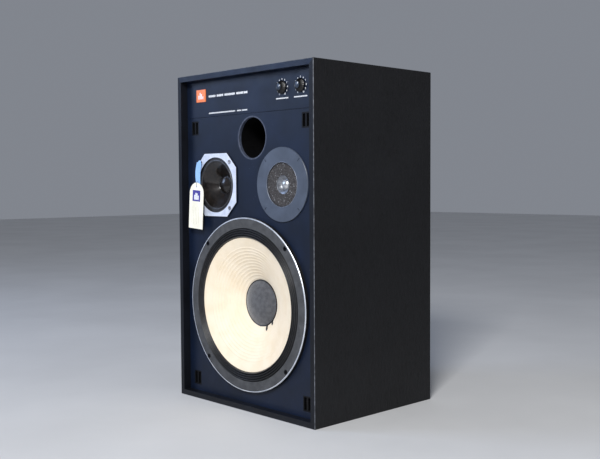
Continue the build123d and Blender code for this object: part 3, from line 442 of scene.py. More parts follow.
def make_finishes():
    """Every finish by the slot that the record gives it."""
    badge = bpy.context.scene.speaker_baffle.badge
    plate = bpy.context.scene.speaker_tweeter.plate
    return {
        "black_ash_veneer": stained_ash("black_stained_ash_upright", "Z"),
        "navy_paint": sprayed_navy("navy_sprayed_lacquer"),
        "navy_metal": sprayed_navy("navy_sprayed_metal"),
        # Injection-moulded ABS, polished tool: even orange with a soft shine
        "orange_badge": plain_finish(
            "orange_moulded_abs", badge, "#ee7434", 20, 1.2, 0.01, 0.3, IOR=1.53
        ),
        # Spiral-wound card tube, painted: matt black with paper fuzz
        "black_card_tube": plain_finish(
            "black_painted_card", "#060607", "#030304", 10, 0.8, 0.06, 0.9, IOR=1.45, Specular_IOR_Level=0.1
        ),
        # Moulded ABS from a spark-eroded tool: fine matt grain
        "black_moulding": plain_finish(
            "black_moulded_abs", "#0b0b0d", "#060607", 12, 0.35, 0.03, 0.55, IOR=1.5, Specular_IOR_Level=0.2
        ),
        # Phenolic from a polished tool: deep black with a clear shine
        "black_gloss_moulding": plain_finish(
            "black_moulded_phenolic", "#060607", "#030304", 12, 1.0, 0.01, 0.34, IOR=1.5
        ),
        "red_gloss_moulding": plain_finish(
            "red_moulded_abs", "#b3201c", "#931511", 8, 1.0, 0.01, 0.28, IOR=1.53
        ),
        "turned_steel": metal("turned_steel", "#c9c9cc", "#9a9aa0", 0.28),
        "plated_brass": metal("nickel_plated_brass", "#d9cfae", "#b3a888", 0.22),
        "black_cast_alloy": cast_black(),
        "grey_gasket": fibre_gasket(),
        "black_doped_cloth": doped_cloth("black_doped_linen", "#0e0e10", "#1b1b1e", 0.35),
        "cream_paper": coated_paper(),
        "charcoal_felt": pressed_felt(),
        "black_paper": glossy_paper("black_doped_paper", "#100d0c", "#241e1b", 0.34),
        "copper_winding": metal("enamelled_copper_wire", "#d08a55", "#a8622f", 0.3, 0.3),
        # Sintered ferrite, ground flat: dull dark grey
        "ferrite": plain_finish("ground_ferrite", "#3d3d40", "#2c2c2f", 10, 0.5, 0.03, 0.6, IOR=1.9),
        "zinc_steel": metal("zinc_plated_steel", "#b4b4b0", "#8f8f8a", 0.35),
        "silver_cast_alloy": speckled_alloy(),
        # Pressed steel with stoved grey-blue paint: satin, faintly textured
        "grey_plate_paint": plain_finish(
            "grey_stoved_paint", plate, "#414957", 30, 0.7, 0.03, 0.42, IOR=1.5
        ),
        "brown_foam": open_foam(),
        "silver_cap": spun_foil("pressed_aluminium_foil", "#e2e3e5", "#aeb0b4"),
        "black_screw": metal("black_oxided_steel", "#2b2b2e", "#1a1a1c", 0.42),
        # Wet-process hardboard: brown fibres pressed smooth
        "hardboard": plain_finish("brown_hardboard", "#86633f", "#6d4e30", 8, 0.9, 0.05, 0.7, IOR=1.45),
        # Sawn chipboard: pale brown flakes
        "raw_board": plain_finish("raw_chipboard", "#b79a74", "#8e7350", 5, 1.5, 0.15, 0.85, IOR=1.45),
        "black_back_paint": plain_finish(
            "black_brushed_back_paint", "#17171a", "#0e0e10", 40, 1.6, 0.1, 0.62, IOR=1.5
        ),
        "yellow_film": plain_finish(
            "yellow_polyester_film", "#d9ae3c", "#b98d22", 9, 1.0, 0.01, 0.25, IOR=1.6
        ),
        "wadding": plain_finish("pale_fibre_wadding", "#c2bcae", "#9f9888", 6, 1.2, 0.4, 0.95, IOR=1.4),
        "wire_sleeve": plain_finish("grey_wire_sleeve", "#5a5a5e", "#454549", 6, 0.6, 0.02, 0.45, IOR=1.53),
        "cream_card": coated_card(),
        "blue_satin": woven_satin(),
        "foil_label": spun_foil("printed_foil_label", "#b8babd", "#a2a4a8"),
        # Finishes that only added pieces or parts of a node have
        "top_veneer": stained_ash("black_stained_ash_across", "X"),
        # Veneer edge in a paler grey: partly rubbed through by handling, partly a painted highlight along the
        # corner
        "worn_edge_and_highlight": plain_finish("veneer_edge_wear_and_painted_highlight", "#70747d", "#3a3c42", 7, 0.8, 0.04, 0.38, IOR=1.5),
        # Edge of a wound card tube under thin navy paint: matt and paler than the board
        "tube_edge": plain_finish("painted_tube_edge", "#4b5264", "#363c4b", 5, 0.6, 0.05, 0.55, IOR=1.48),
        "turned_rim": turned_rim(),
        # The navy lacquer darkened to nearly black on the front edges and rebates of the sides and bottom, as
        # painted shade: satin
        "navy_lip_painted_shade": plain_finish(
            "navy_lacquer_painted_shade", "#0e1119", "#090b11", 40, 0.9, 0.02, 0.5, IOR=1.5, Specular_IOR_Level=0.3
        ),
        # Foil cone in a darker grey than its cap, as painted shade
        "dull_foil": spun_foil("aluminium_foil_painted_shade", "#9a9da3", "#74777d"),
        # Steel ring, sand-blasted and plated: even satin grey, paler than what it rings, as a painted
        # highlight along that edge
        "satin_ring": metal("pale_steel_painted_highlight", "#9599a2", "#7d818a", 0.52),
        # Aluminium disc let into a knob: satin, with a blue-grey tint that is a painted reflection of the sky
        "knob_disc": plain_finish(
            "aluminium_disc_painted_reflection", "#434d5b", "#38414d", 6, 0.4, 0.01, 0.42, Metallic=0.5
        ),
        # Doped cloth roll, shinier than the large surround; its greyer colour is a painted highlight
        "thick_doped_cloth": doped_cloth("doped_linen_painted_highlight", "#1c1c1f", "#303034", 0.7),
        # Silk-screen ink: opaque white with a slightly ragged film
        "white_ink": plain_finish("white_screen_ink", "#f6f7f9", "#e6e8ec", 2, 0.4, 0.01, 0.5, IOR=1.5),
        "purple_ink": plain_finish("purple_offset_ink", "#4b45a0", "#3d378c", 3, 0.4, 0.01, 0.5, IOR=1.5),
        "grey_ink": plain_finish("pale_offset_ink", "#dfdbc5", "#cfcab2", 2, 0.4, 0.01, 0.55, IOR=1.5),
        # Solvent glue brushed round the cap: black, glossy and uneven
        "black_glue": plain_finish("black_rubber_glue", "#0d0d0e", "#19191b", 3, 1.5, 0.15, 0.26, IOR=1.52),
        # Spun polyester thread, pale grey
        "pale_thread": plain_finish(
            "grey_polyester_thread", "#a5a7aa", "#7e8084", 1, 0.4, 0.08, 0.7, IOR=1.5
        ),
    }


# Mesh helpers -------------------------------------------------------------------------


def add_piece(name, vertices, faces, body, slot, sharp=28.0):
    """A closed mesh in the row frame that rides on a body and has a slot's finish."""
    mesh = bpy.data.meshes.new(name)
    mesh.from_pydata(vertices, [], faces)
    work = bmesh.new()
    work.from_mesh(mesh)
    bmesh.ops.remove_doubles(work, verts=work.verts, dist=1e-6)
    bmesh.ops.dissolve_degenerate(work, edges=work.edges, dist=1e-7)
    bmesh.ops.recalc_face_normals(work, faces=work.faces)
    work.to_mesh(mesh)
    work.free()
    mesh.polygons.foreach_set("use_smooth", [True] * len(mesh.polygons))
    mesh.set_sharp_from_angle(angle=math.radians(sharp))
    piece = bpy.data.objects.new(name, mesh)
    bpy.context.scene.collection.objects.link(piece)
    mesh.materials.append(FINISHES[slot])
    if body:
        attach(piece, body)
    return piece


FINISHES = {}


def arc(start, middle, end, count):
    """Points of the circle through three (radius, depth) points."""
    (ax, ay), (bx, by), (cx, cy) = start, middle, end
    twice = 2 * (ax * (by - cy) + bx * (cy - ay) + cx * (ay - by))
    a2, b2, c2 = ax * ax + ay * ay, bx * bx + by * by, cx * cx + cy * cy
    ox = (a2 * (by - cy) + b2 * (cy - ay) + c2 * (ay - by)) / twice
    oy = (a2 * (cx - bx) + b2 * (ax - cx) + c2 * (bx - ax)) / twice
    size = math.hypot(ax - ox, ay - oy)
    first = math.atan2(ay - oy, ax - ox)
    swing = math.remainder(math.atan2(cy - oy, cx - ox) - first, 2 * math.pi)
    steps = [first + swing * i / (count - 1) for i in range(count)]
    return [(ox + size * math.cos(a), oy + size * math.sin(a)) for a in steps]


def circle(size, count, across=0.0, up=0.0):
    """Points of a circle of a radius in mm about a middle."""
    around = [2 * math.pi * i / count for i in range(count)]
    return [(across + size * math.cos(a), up + size * math.sin(a)) for a in around]


def turned(outline, middle, count=192, shape=None):
    """Vertices and faces of a round piece from the closed (radius, depth) outline in mm."""
    vertices, faces = [], []
    for i in range(count):
        angle = 2 * math.pi * i / count
        for r, depth in outline:
            if shape:
                r, depth = shape(r, depth, angle)
            vertices.append(place(r * math.cos(angle), depth, r * math.sin(angle), middle))
    rows = len(outline)
    for i in range(count):
        for j in range(rows):
            k = (j + 1) % rows
            if outline[j][0] < 1e-9 and outline[k][0] < 1e-9:
                continue
            a, b = i * rows, ((i + 1) % count) * rows
            faces.append((a + j, b + j, b + k, a + k))
    return vertices, faces


def slab(outline, middle, front_depth, back_depth, edge):
    """Vertices and faces of a flat piece with softened front edges, from its (x, z) outline in mm."""
    total = len(outline)
    inner = []
    for i, (x, z) in enumerate(outline):
        px, pz = outline[i - 1]
        nx, nz = outline[(i + 1) % total]
        first = Vector((x - px, z - pz)).normalized()
        second = Vector((nx - x, nz - z)).normalized()
        normal = Vector((-(first.y + second.y), first.x + second.x))
        normal = normal / max(normal.length_squared / 2, 1e-6)
        inner.append((x + normal.x * edge, z + normal.y * edge))
    layers = [(outline, back_depth), (outline, front_depth + edge), (inner, front_depth)]
    vertices = [place(x, depth, z, middle) for ring, depth in layers for x, z in ring]
    faces = [tuple(range(total)), tuple(range(2 * total, 3 * total))]
    for layer in (0, 1):
        for i in range(total):
            k = (i + 1) % total
            a = layer * total
            faces.append((a + i, a + k, a + total + k, a + total + i))
    return vertices, faces


def joined(parts):
    """Several (vertices, faces) as one."""
    vertices, faces = [], []
    for more_vertices, more_faces in parts:
        start = len(vertices)
        vertices += more_vertices
        faces += [tuple(start + i for i in face) for face in more_faces]
    return vertices, faces


def rounded(width, height, corner, steps=4, shift=(0.0, 0.0)):
    """Outline of a rounded rectangle, anticlockwise seen from the front, in mm."""
    points = []
    for sx, sz, start in ((1, 1, 0), (-1, 1, 90), (-1, -1, 180), (1, -1, 270)):
        for i in range(steps + 1):
            a = math.radians(start + 90 * i / steps)
            x = sx * (width / 2 - corner) + corner * math.cos(a)
            z = sz * (height / 2 - corner) + corner * math.sin(a)
            points.append((x + shift[0], z + shift[1]))
    return points


def swept(points, section, facing):
    """Vertices and faces of a closed section carried along points, its x across and y to facing."""
    vertices, faces = [], []
    count = len(section)
    for i, here in enumerate(points):
        before, after = points[max(i - 1, 0)], points[min(i + 1, len(points) - 1)]
        along = (after - before).normalized()
        out = (facing - along * facing.dot(along)).normalized()
        side = along.cross(out)
        vertices += [here + side * (x * MM) + out * (y * MM) for x, y in section]
    for i in range(len(points) - 1):
        for j in range(count):
            k = (j + 1) % count
            a, b = i * count, (i + 1) * count
            faces.append((a + j, b + j, b + k, a + k))
    last = (len(points) - 1) * count
    faces += [tuple(range(count)), tuple(last + j for j in range(count))]
    return vertices, faces


def made_by(data):
    """Points and faces that a curve or a text makes; the curve or text is removed."""
    holder = bpy.data.objects.new(data.name, data)
    bpy.context.scene.collection.objects.link(holder)
    bpy.context.view_layer.update()
    mesh = bpy.data.meshes.new_from_object(holder)
    points = [vertex.co.copy() for vertex in mesh.vertices]
    faces = [tuple(face.vertices) for face in mesh.polygons]
    bpy.data.objects.remove(holder)
    bpy.data.curves.remove(data)
    bpy.data.meshes.remove(mesh)
    return points, faces


def smooth_line(name, points, resolution=10):
    """Points read from the NURBS line of a route, which has no bevel, and removes that line."""
    curve = bpy.data.curves.new(name, "CURVE")
    curve.dimensions = "3D"
    curve.resolution_u = resolution
    spline = curve.splines.new("NURBS")
    spline.points.add(len(points) - 1)
    for point, place_of in zip(spline.points, points):
        point.co = (*place_of, 1.0)
    spline.order_u = 3
    spline.use_endpoint_u = True
    return made_by(curve)[0]


def second_finish(node_name, slot, chosen):
    """Gives the faces of a CAD node that are chosen by (centre in mm, normal) another finish."""
    mesh = frame["nodes"][node_name].data
    mesh.materials.append(FINISHES[slot])
    index = len(mesh.materials) - 1
    for face in mesh.polygons:
        spot = Vector((face.center.x, face.center.y - CASE_FRONT, face.center.z)) / MM
        if chosen(spot, face.normal):
            face.material_index = index


# Sizes and colours that can be changed ------------------------------------------------


def shade(name, description, default):
    """A colour property, kept as an sRGB hex code."""
    return bpy.props.StringProperty(name=name, description=description, default=default)


def length(name, description, default):
    """A size property in metres, given in mm."""
    return bpy.props.FloatProperty(
        name=name, description=description, default=default * MM, unit="LENGTH", precision=5
    )


def angle(name, description, default):
    """An angle property, given in degrees."""
    return bpy.props.FloatProperty(
        name=name, description=description, default=math.radians(default), subtype="ANGLE"
    )


def power(name, description, default):
    """A power property in watts."""
    return bpy.props.FloatProperty(name=name, description=description, default=default, unit="POWER")


class CaseLook(bpy.types.PropertyGroup):
    """Veneer of the case."""

    veneer: shade("Veneer", "Stained ash between its pores", "#151517")
    pore: shade("Pore", "Stain that filled the open pores", "#070708")
    ring: shade("Ring", "Late wood, which takes less stain", "#1d1d20")
    worn: shade("Worn", "Veneer dulled by handling", "#1f2023")
    pore_width: length("Pore width", "Width of an open pore", 0.55)


class BaffleLook(bpy.types.PropertyGroup):
    """Baffle, control panel and their print."""

    paint: shade("Paint", "Navy lacquer", "#111c31")
    paint_dark: shade("Paint, thin", "Navy lacquer where it is thinner", "#0d1626")
    scuff: shade("Scuff", "Pale scuffs on the lacquer", "#9aa6bd")
    badge: shade("Badge", "Moulded badge", "#f58443")
    print_height: length("Print height", "How far screen print stands proud", 0.06)
    numeral_size: length("Numeral size", "Height of the dial numerals", 3.2)
    dial_radius: length("Dial radius", "From a knob's axis to its numerals", 13.4)


class WooferLook(bpy.types.PropertyGroup):
    """Woofer cone, cap and gasket."""

    cone: shade("Cone", "Coated paper", "#f8e9d0")
    cone_dark: shade("Cone, thin", "Coated paper where the coat is thin", "#f1dfc1")
    cap: shade("Cap", "Felt dust cap", "#55565a")
    cap_dark: shade("Cap, dark", "Felt between its lighter fibres", "#434448")
    gasket: shade("Gasket", "Fibre gasket", "#4b4c4e")
    gasket_dark: shade("Gasket, dark", "Fibre gasket between pale fibres", "#3b3c3e")
    ribs: bpy.props.IntProperty(name="Ribs", description="Ribs pressed in the cone", default=11)
    rib_height: length("Rib height", "How far a rib stands up", 0.55)
    flare: length("Flare", "How far the cone bulges forward of straight", 3.5)
    skin: length("Skin", "Thickness of the paper", 1.2)


class MidLook(bpy.types.PropertyGroup):
    """Midrange frame and cone."""

    frame: shade("Frame", "Silver hammer paint", "#dce3f2")
    frame_dark: shade("Frame, dark", "Silver hammer paint in its hollows", "#c6cfe2")
    flare: length("Flare", "How far the cone bulges forward of straight", 2.0)
    skin: length("Skin", "Thickness of the paper", 0.9)


class TweeterLook(bpy.types.PropertyGroup):
    """Tweeter plate, foam and cone."""

    plate: shade("Plate", "Stoved paint", "#4c5565")
    foam: shade("Foam", "Foam, aged", "#3d3a3b")
    foam_dark: shade("Foam, dark", "Foam in its hollows", "#1b1a1c")
    foam_strut: shade("Strut", "Foam struts, dusty", "#6d6a6b")
    foam_swell: length("Foam swell", "Depth of the dents in the foam", 1.3)
    skin: length("Skin", "Thickness of the cone", 0.6)


class KnobLook(bpy.types.PropertyGroup):
    """Level knobs."""

    flutes: bpy.props.IntProperty(name="Flutes", description="Grooves round a knob", default=24)
    flute_depth: length("Flute depth", "Depth of a groove", 0.4)
    mid_setting: angle("Midrange setting", "Pointer, clockwise from the top", 55)
    high_setting: angle("High setting", "Pointer, clockwise from the top", 40)


class TagLook(bpy.types.PropertyGroup):
    """Hang tag and ribbon."""

    card: shade("Card", "Coated card", "#fefae8")
    ribbon: shade("Ribbon", "Satin in the light", "#a4caf6")
    ribbon_dark: shade("Ribbon, dark", "Satin between its threads", "#82b0ec")
    ribbon_width: length("Ribbon width", "Width of one strand", 6.0)
    ribbon_thickness: length("Ribbon thickness", "Thickness of one strand", 0.5)
    strand: length("Strand", "Length of one strand", 45)
    stagger: length("Stagger", "How far each strand lies in front of or behind the middle", 0.5)
    lean: angle("Lean", "Tag, clockwise seen from the front", 3.9)


class RearLook(bpy.types.PropertyGroup):
    """Screws and print on the back."""

    screw_radius: length("Screw radius", "Head of a back screw", 3.2)
    screw_height: length("Screw height", "How far a back screw stands proud", 0.9)


class StageLook(bpy.types.PropertyGroup):
    """Camera, floor and lights."""

    lens: bpy.props.FloatProperty(name="Lens", description="Focal length", default=53.81, unit="CAMERA")
    azimuth: angle("Azimuth", "Camera, turned to the left of straight ahead", 46.346)
    pitch: angle("Pitch", "Camera, below the horizon", 2.863)
    roll: angle("Roll", "Camera, turned about its own line of sight", -0.3178)
    camera: bpy.props.FloatVectorProperty(
        name="Camera", description="Place of the camera", default=(1.19903, -1.15105, 0.39572), unit="LENGTH"
    )
    floor: shade("Floor", "Painted studio floor", "#d6d6d6")
    sky: shade("Surround", "Light that comes from all round", "#c4cad6")
    cool: shade("Cool", "Colour of the soft light on the left", "#a9bde2")
    floor_size: length("Floor size", "Half the width of the floor", 9000)
    key_power: power("Key", "Power of the key light", 74)
    fill_power: power("Fill", "Power of the bluish soft light", 30)
    surround_level: bpy.props.FloatProperty(
        name="Surround level", description="Strength of the light from all round", default=0.4
    )


LOOKS = {
    "speaker_case": CaseLook,
    "speaker_baffle": BaffleLook,
    "speaker_woofer": WooferLook,
    "speaker_mid": MidLook,
    "speaker_tweeter": TweeterLook,
    "speaker_knob": KnobLook,
    "speaker_tag": TagLook,
    "speaker_rear": RearLook,
    "speaker_stage": StageLook,
}


# Operators ----------------------------------------------------------------------------


class SPEAKER_OT_stage(bpy.types.Operator):
    """Adds the camera, the pale floor and the soft lights"""

    bl_idname = "speaker.stage"
    bl_label = "Stage"

    def execute(self, context):
        look = context.scene.speaker_stage
        data = bpy.data.cameras.new("camera")
        data.lens = look.lens
        data.sensor_width = 36
        camera = bpy.data.objects.new("camera", data)
        turn = Matrix.Rotation(look.azimuth, 4, "Z")
        tip = Matrix.Rotation(math.pi / 2 - look.pitch, 4, "X")
        camera.matrix_world = (
            Matrix.Translation(look.camera) @ turn @ tip @ Matrix.Rotation(look.roll, 4, "Z")
        )
        context.scene.collection.objects.link(camera)
        context.scene.camera = camera
        context.scene.view_settings.view_transform = "Standard"

        # Power-floated concrete under matt paint: pale, with slow cloudy changes
        clouds, spread, bump = (400,), ((30,), 0.7, 0.85), ((3.0,), 0.05)
        material = layered(
            "painted_concrete_floor", look.floor, "#cfcfcf", clouds, (), spread, bump, IOR=1.5
        )
        size = look.floor_size
        mesh = bpy.data.meshes.new("floor")
        corners = [(-size, -size, 0), (size, -size, 0), (size, size, 0), (-size, size, 0)]
        mesh.from_pydata(corners, [], [(0, 1, 2, 3)])
        mesh.materials.append(material)
        floor = bpy.data.objects.new("floor", mesh)
        context.scene.collection.objects.link(floor)

        world = bpy.data.worlds.new("studio")
        world.use_nodes = True
        light = world.node_tree.nodes["Background"]
        light.inputs["Color"].default_value = linear(look.sky)
        light.inputs["Strength"].default_value = look.surround_level
        context.scene.world = world

        middle = (cad_box[0] + cad_box[1]) / 2
        for name, power, spot, width, tint in (
            ("key_light", look.key_power, Vector((1.4, -1.9, 1.85)), 0.6, "#ffffff"),
            ("fill_light", look.fill_power, Vector((-2.0, -1.85, 1.4)), 1.1, look.cool),
        ):
            lamp = bpy.data.lights.new(name, "AREA")
            lamp.energy = power
            lamp.color = linear(tint)[:3]
            lamp.size = width
            holder = bpy.data.objects.new(name, lamp)
            holder.location = spot
            holder.rotation_mode = "QUATERNION"
            holder.rotation_quaternion = (middle - spot).to_track_quat("-Z", "Y")
            context.scene.collection.objects.link(holder)
        return {"FINISHED"}


class SPEAKER_OT_finishes(bpy.types.Operator):
    """Makes every finish and gives each carried-over piece its own"""

    bl_idname = "speaker.finishes"
    bl_label = "Finishes"

    def execute(self, context):
        FINISHES.update(make_finishes())
        for name, piece in frame["nodes"].items():
            piece.data.materials.clear()
            piece.data.materials.append(FINISHES[SLOT_OF[name]])
        return {"FINISHED"}


class SPEAKER_OT_ribbon(bpy.types.Operator):
    """Adds the two satin strands that carry the tag, the loop round the screw and the tag's thread"""

    bl_idname = "speaker.ribbon"
    bl_label = "Ribbon"

    def execute(self, context):
        look = context.scene.speaker_tag
        width, thick = look.ribbon_width / MM, look.ribbon_thickness / MM
        section = rounded(width, thick, thick * 0.45, 2)
        facing = Vector((0.25, -1, 0.0)).normalized()
        routes = {
            "left": [
                (-0.130012, -0.1412, 0.437512),
                (-0.132612, -0.1414, 0.430012),
                (-0.134312, -0.1416, 0.420512),
                (-0.134012, -0.1419, 0.411012),
                (-0.132212, -0.1422, 0.402012),
                (-0.131012, -0.1425, 0.394012),
            ],
            "right": [
                (-0.125412, -0.1412, 0.436512),
                (-0.126912, -0.1414, 0.428012),
                (-0.128412, -0.1416, 0.419012),
                (-0.128512, -0.1419, 0.410012),
                (-0.128212, -0.1422, 0.401512),
                (-0.127612, -0.1425, 0.394012),
            ],
        }
        strands, lines = {}, {}
        for side, route in routes.items():
            shift = Vector((0, look.stagger if side == "right" else -look.stagger, 0))
            line = [point + shift for point in smooth_line(f"ribbon_line_{side}", route)]
            lines[side] = line
            strands[side] = add_piece(
                f"ribbon_strand_{side}", *swept(line, section, facing), "swing_tag", "blue_satin", 50
            )
        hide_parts("tag_ribbon")

        # The ribbon goes once round the neck of the screw
        left_top, right_top = Vector(routes["left"][0]), Vector(routes["right"][0])
        screw = (left_top + right_top) / 2
        loop = smooth_line(
            "ribbon_loop_line",
            [
                left_top + Vector((0.0010, 0.0, -0.0020)),
                left_top + Vector((0.0004, 0.0008, 0.0012)),
                screw + Vector((0.0, 0.0016, 0.0030)),
                right_top + Vector((-0.0004, 0.0010, 0.0020)),
                right_top + Vector((-0.0010, 0.0008, -0.0020)),
            ],
        )
        narrow = rounded(0.6 * width, thick, thick * 0.45, 2)
        ribbon_loop = add_piece(
            "ribbon_loop", *swept(loop, narrow, facing), "swing_tag", "blue_satin", 50
        )

        # A thread joins the strands' ends to the hole, over the top edge of the card
        tag_front = front("hang_tag")
        ends = (lines["left"][-1] + lines["right"][-1]) / 2
        hole = Vector((ends.x, 0, ends.z - 0.0012))
        depth = CASE_FRONT + tag_front * MM
        thread = smooth_line(
            "thread_line",
            [
                Vector((hole.x, depth + 0.0022, hole.z)),
                Vector((hole.x, depth - 0.0006, hole.z)),
                Vector((hole.x + 0.0003, depth - 0.0009, hole.z + 0.0040)),
                Vector((hole.x + 0.0007, depth - 0.0007, hole.z + 0.0082)),
                Vector((hole.x + 0.0009, depth + 0.0006, hole.z + 0.0102)),
                Vector((hole.x + 0.0009, depth + 0.0028, hole.z + 0.0098)),
            ],
        )
        thread_r = 0.45
        tube = swept(thread, circle(thread_r, 8), Vector((1, 0.2, 0)))
        tag_thread = add_piece("tag_thread", *tube, "swing_tag", "pale_thread", 60)

        return {"FINISHED"}


def bars(words, block, gap, shift_z, height, depth, proud):
    """Rows of small printed blocks that fill the given (start, end) stretches in mm."""
    parts = []
    for start, end in words:
        count = max(1, round((end - start + gap) / (block + gap)))
        pitch = (end - start + gap) / count
        for i in range(count):
            x = start + i * pitch + (pitch - gap) / 2
            tall = height * (1.0 if (i * 7 + int(start)) % 3 else 0.82)
            outline = rounded(pitch - gap, tall, min(0.3, gap / 2), 2, (x, shift_z))
            parts.append(slab(outline, (0, 0), depth - proud, depth, proud * 0.4))
    return parts


class SPEAKER_OT_case(bpy.types.Operator):
    """Finishes the case: veneer outside, lacquer on the front edges with painted shade on all but the top's,
    a painted highlight with wear on the front corners, bare board inside
    """

    bl_idname = "speaker.case"
    bl_label = "Case"

    def execute(self, context):
        seat = back("front_baffle") - 0.01
        box_low, box_high = cad_box[0] / MM, cad_box[1] / MM
        rear = front("back_panel")
        for name in ("top_panel", "bottom_panel", "left_side_panel", "right_side_panel"):
            if name in ("top_panel", "bottom_panel"):
                frame["nodes"][name].data.materials[0] = FINISHES["top_veneer"]

            def outer(spot, limit=1.0):
                return (
                    abs(spot.x) > box_high.x - limit
                    or spot.z > box_high.z - limit
                    or spot.z < box_low.z + limit
                )

            # Only the top's front edge keeps the navy lacquer; the other front edges get its darker copy as
            # painted shade
            lip = "navy_paint" if name == "top_panel" else "navy_lip_painted_shade"
            second_finish(name, lip, lambda s, n: s.y < seat and not outer(s))
            second_finish(name, "raw_board", lambda s, n: seat <= s.y < rear and not outer(s))
            second_finish(name, "black_back_paint", lambda s, n: s.y >= rear and not outer(s))
            # The front corner chamfers get a paler grey: edge wear and a painted highlight
            second_finish(
                name, "worn_edge_and_highlight", lambda s, n: s.y < 1.2 and -0.95 < n.y < -0.3 and outer(s, 1.2)
            )
        return {"FINISHED"}


class SPEAKER_OT_baffle(bpy.types.Operator):
    """Adds the port's lip, the badge's mark, the printed lines and the dial numerals"""

    bl_idname = "speaker.baffle"
    bl_label = "Baffle"

    def execute(self, context):
        look = context.scene.speaker_baffle
        proud = look.print_height / MM
        panel = front("control_panel")
        second_finish(
            "port_tube", "tube_edge", lambda s, n: n.y < -0.5 and s.y < front("port_tube") + 0.5
        )
        # Lacquer that ran a few mm into the tube, over its paler board
        bore, mouth = radius("port_tube") - 2.0, front("port_tube")
        lining = [(bore - 0.7, mouth + 0.5), (bore - 0.4, mouth + 0.1), (bore, mouth + 0.1)]
        lining += [(bore, mouth + 6.0), (bore - 0.3, mouth + 6.0)]
        add_piece("port_lip", *turned(lining, centre("port_tube")), "cabinet", "tube_edge", 40)
        badge_middle, badge_face = centre("badge"), front("badge")
        mark = []
        for x, tall in ((-6.0, 7.0), (-2.0, 12.0), (2.0, 9.5), (6.0, 5.0)):
            outline = rounded(2.6, tall, 0.5, 3, (x, (tall - 12.0) / 2))
            mark.append(slab(outline, badge_middle, badge_face - proud, badge_face, proud * 0.4))
        add_piece("badge_mark", *joined(mark), "cabinet", "white_ink")

        top = (badge_middle[1] / MM, badge_middle[1] / MM - 33)
        first = [(-105.5, -86), (-82, -64), (-60, -31), (-27, -9), (-7, 3)]
        second = [(-105.5, -31), (-25, -14), (-11, 2)]
        printed = bars(first, 2.3, 0.8, top[0] - 2.5, 4.0, panel, proud)
        printed += bars(second, 1.3, 0.6, top[1], 2.5, panel, proud)
        for level in ("mid", "high"):
            x, z = (value / MM for value in centre(f"{level}_level_knob"))
            half = 14.9 if level == "mid" else 15.4
            printed += bars([(x - half, x + half)], 1.2, 0.5, z - 18.4, 2.2, panel, proud)
        add_piece("panel_print", *joined(printed), "cabinet", "white_ink")

        # Dial numerals 0 to 10, upright, clockwise from the lower left
        for level in ("mid", "high"):
            middle = centre(f"{level}_level_knob")
            numerals = []
            for number in range(11):
                around = math.radians(-150 + 30 * number)
                reach = look.dial_radius / MM
                text = bpy.data.curves.new("numeral", "FONT")
                text.body = str(number)
                text.size = look.numeral_size / MM * 1.25
                text.align_x = "CENTER"
                text.align_y = "CENTER"
                text.extrude = proud / 2
                text.resolution_u = 3
                text.offset = 0.06
                flat, faces = made_by(text)
                side, up = reach * math.sin(around), reach * math.cos(around)
                depth = panel - proud / 2
                points = [place(p.x + side, depth - p.z, p.y + up, middle) for p in flat]
                numerals.append((points, faces))
            add_piece(f"{level}_dial_numerals", *joined(numerals), "cabinet", "white_ink")
        return {"FINISHED"}


class SPEAKER_OT_knobs(bpy.types.Operator):
    """Adds the fluted level knobs with their discs and white pointers"""

    bl_idname = "speaker.knobs"
    bl_label = "Level knobs"

    def execute(self, context):
        look = context.scene.speaker_knob
        depth_of_flute = look.flute_depth / MM
        for level, setting in (("mid", look.mid_setting), ("high", look.high_setting)):
            node_name = f"{level}_level_knob"
            middle, face, foot = centre(node_name), front(node_name), back(node_name)
            base = radius(node_name)
            wall, shaft_r = 2.7, 3.0
            outline = [
                (0, face + 0.4),
                (5.3, face + 0.4),
                (5.5, face + 0.15),
                (5.9, face),
                (6.3, face + 0.15),
                (6.5, face + 0.7),
                (7.4, face + 2.2),
                (8.9, face + 4.0),
                (base - 0.9, foot - 2.9),
                (base - 0.5, foot - 2.4),
                (base - 0.1, foot - 1.9),
                (base, foot - 1.7),
                (base, foot - 0.3),
                (base - 0.3, foot),
                (base - wall, foot),
                (base - wall, foot - 2.5),
                (shaft_r, foot - 2.5),
                (shaft_r, face + 1.5),
                (0, face + 1.5),
            ]

            def fluted(r, depth, around, face=face, foot=foot, base=base):
                if 6.45 < r < base - 0.4 and face + 0.6 < depth < foot - 2.45:
                    r -= depth_of_flute * (0.5 + 0.5 * math.cos(look.flutes * around)) ** 2
                return r, depth

            body = f"{level}_level_control"
            knob = add_piece(
                f"{level}_knob_fluted",
                *turned(outline, middle, look.flutes * 10, fluted),
                body,
                "black_gloss_moulding",
                35,
            )
            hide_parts(node_name)

            disc_r, disc_top, disc_foot = 5.2, face + 0.12, face + 0.6
            disc = [(0, disc_top), (5.0, disc_top), (disc_r, face + 0.25)]
            disc += [(disc_r, disc_foot), (0, disc_foot)]
            # The disc's blue-grey tint is a painted sky reflection
            add_piece(f"{level}_knob_disc", *turned(disc, middle, 96), body, "knob_disc", 35)
            side, up = math.cos(-setting), math.sin(-setting)
            pointer = [
                (x * side - z * up, x * up + z * side) for x, z in rounded(1.1, 3.6, 0.4, 3, (0, 3.3))
            ]
            mark = slab(pointer, middle, face, face + 0.4, 0.05)
            add_piece(f"{level}_knob_pointer", *mark, body, "white_ink")
        return {"FINISHED"}


def depth_at(line, r):
    """Depth of a line of (radius, depth) points at a radius."""
    ordered = sorted(line)
    for (r0, d0), (r1, d1) in zip(ordered, ordered[1:]):
        if r0 <= r <= r1:
            return d0 + (d1 - d0) * (r - r0) / max(r1 - r0, 1e-9)
    return ordered[0][1] if r < ordered[0][0] else ordered[-1][1]


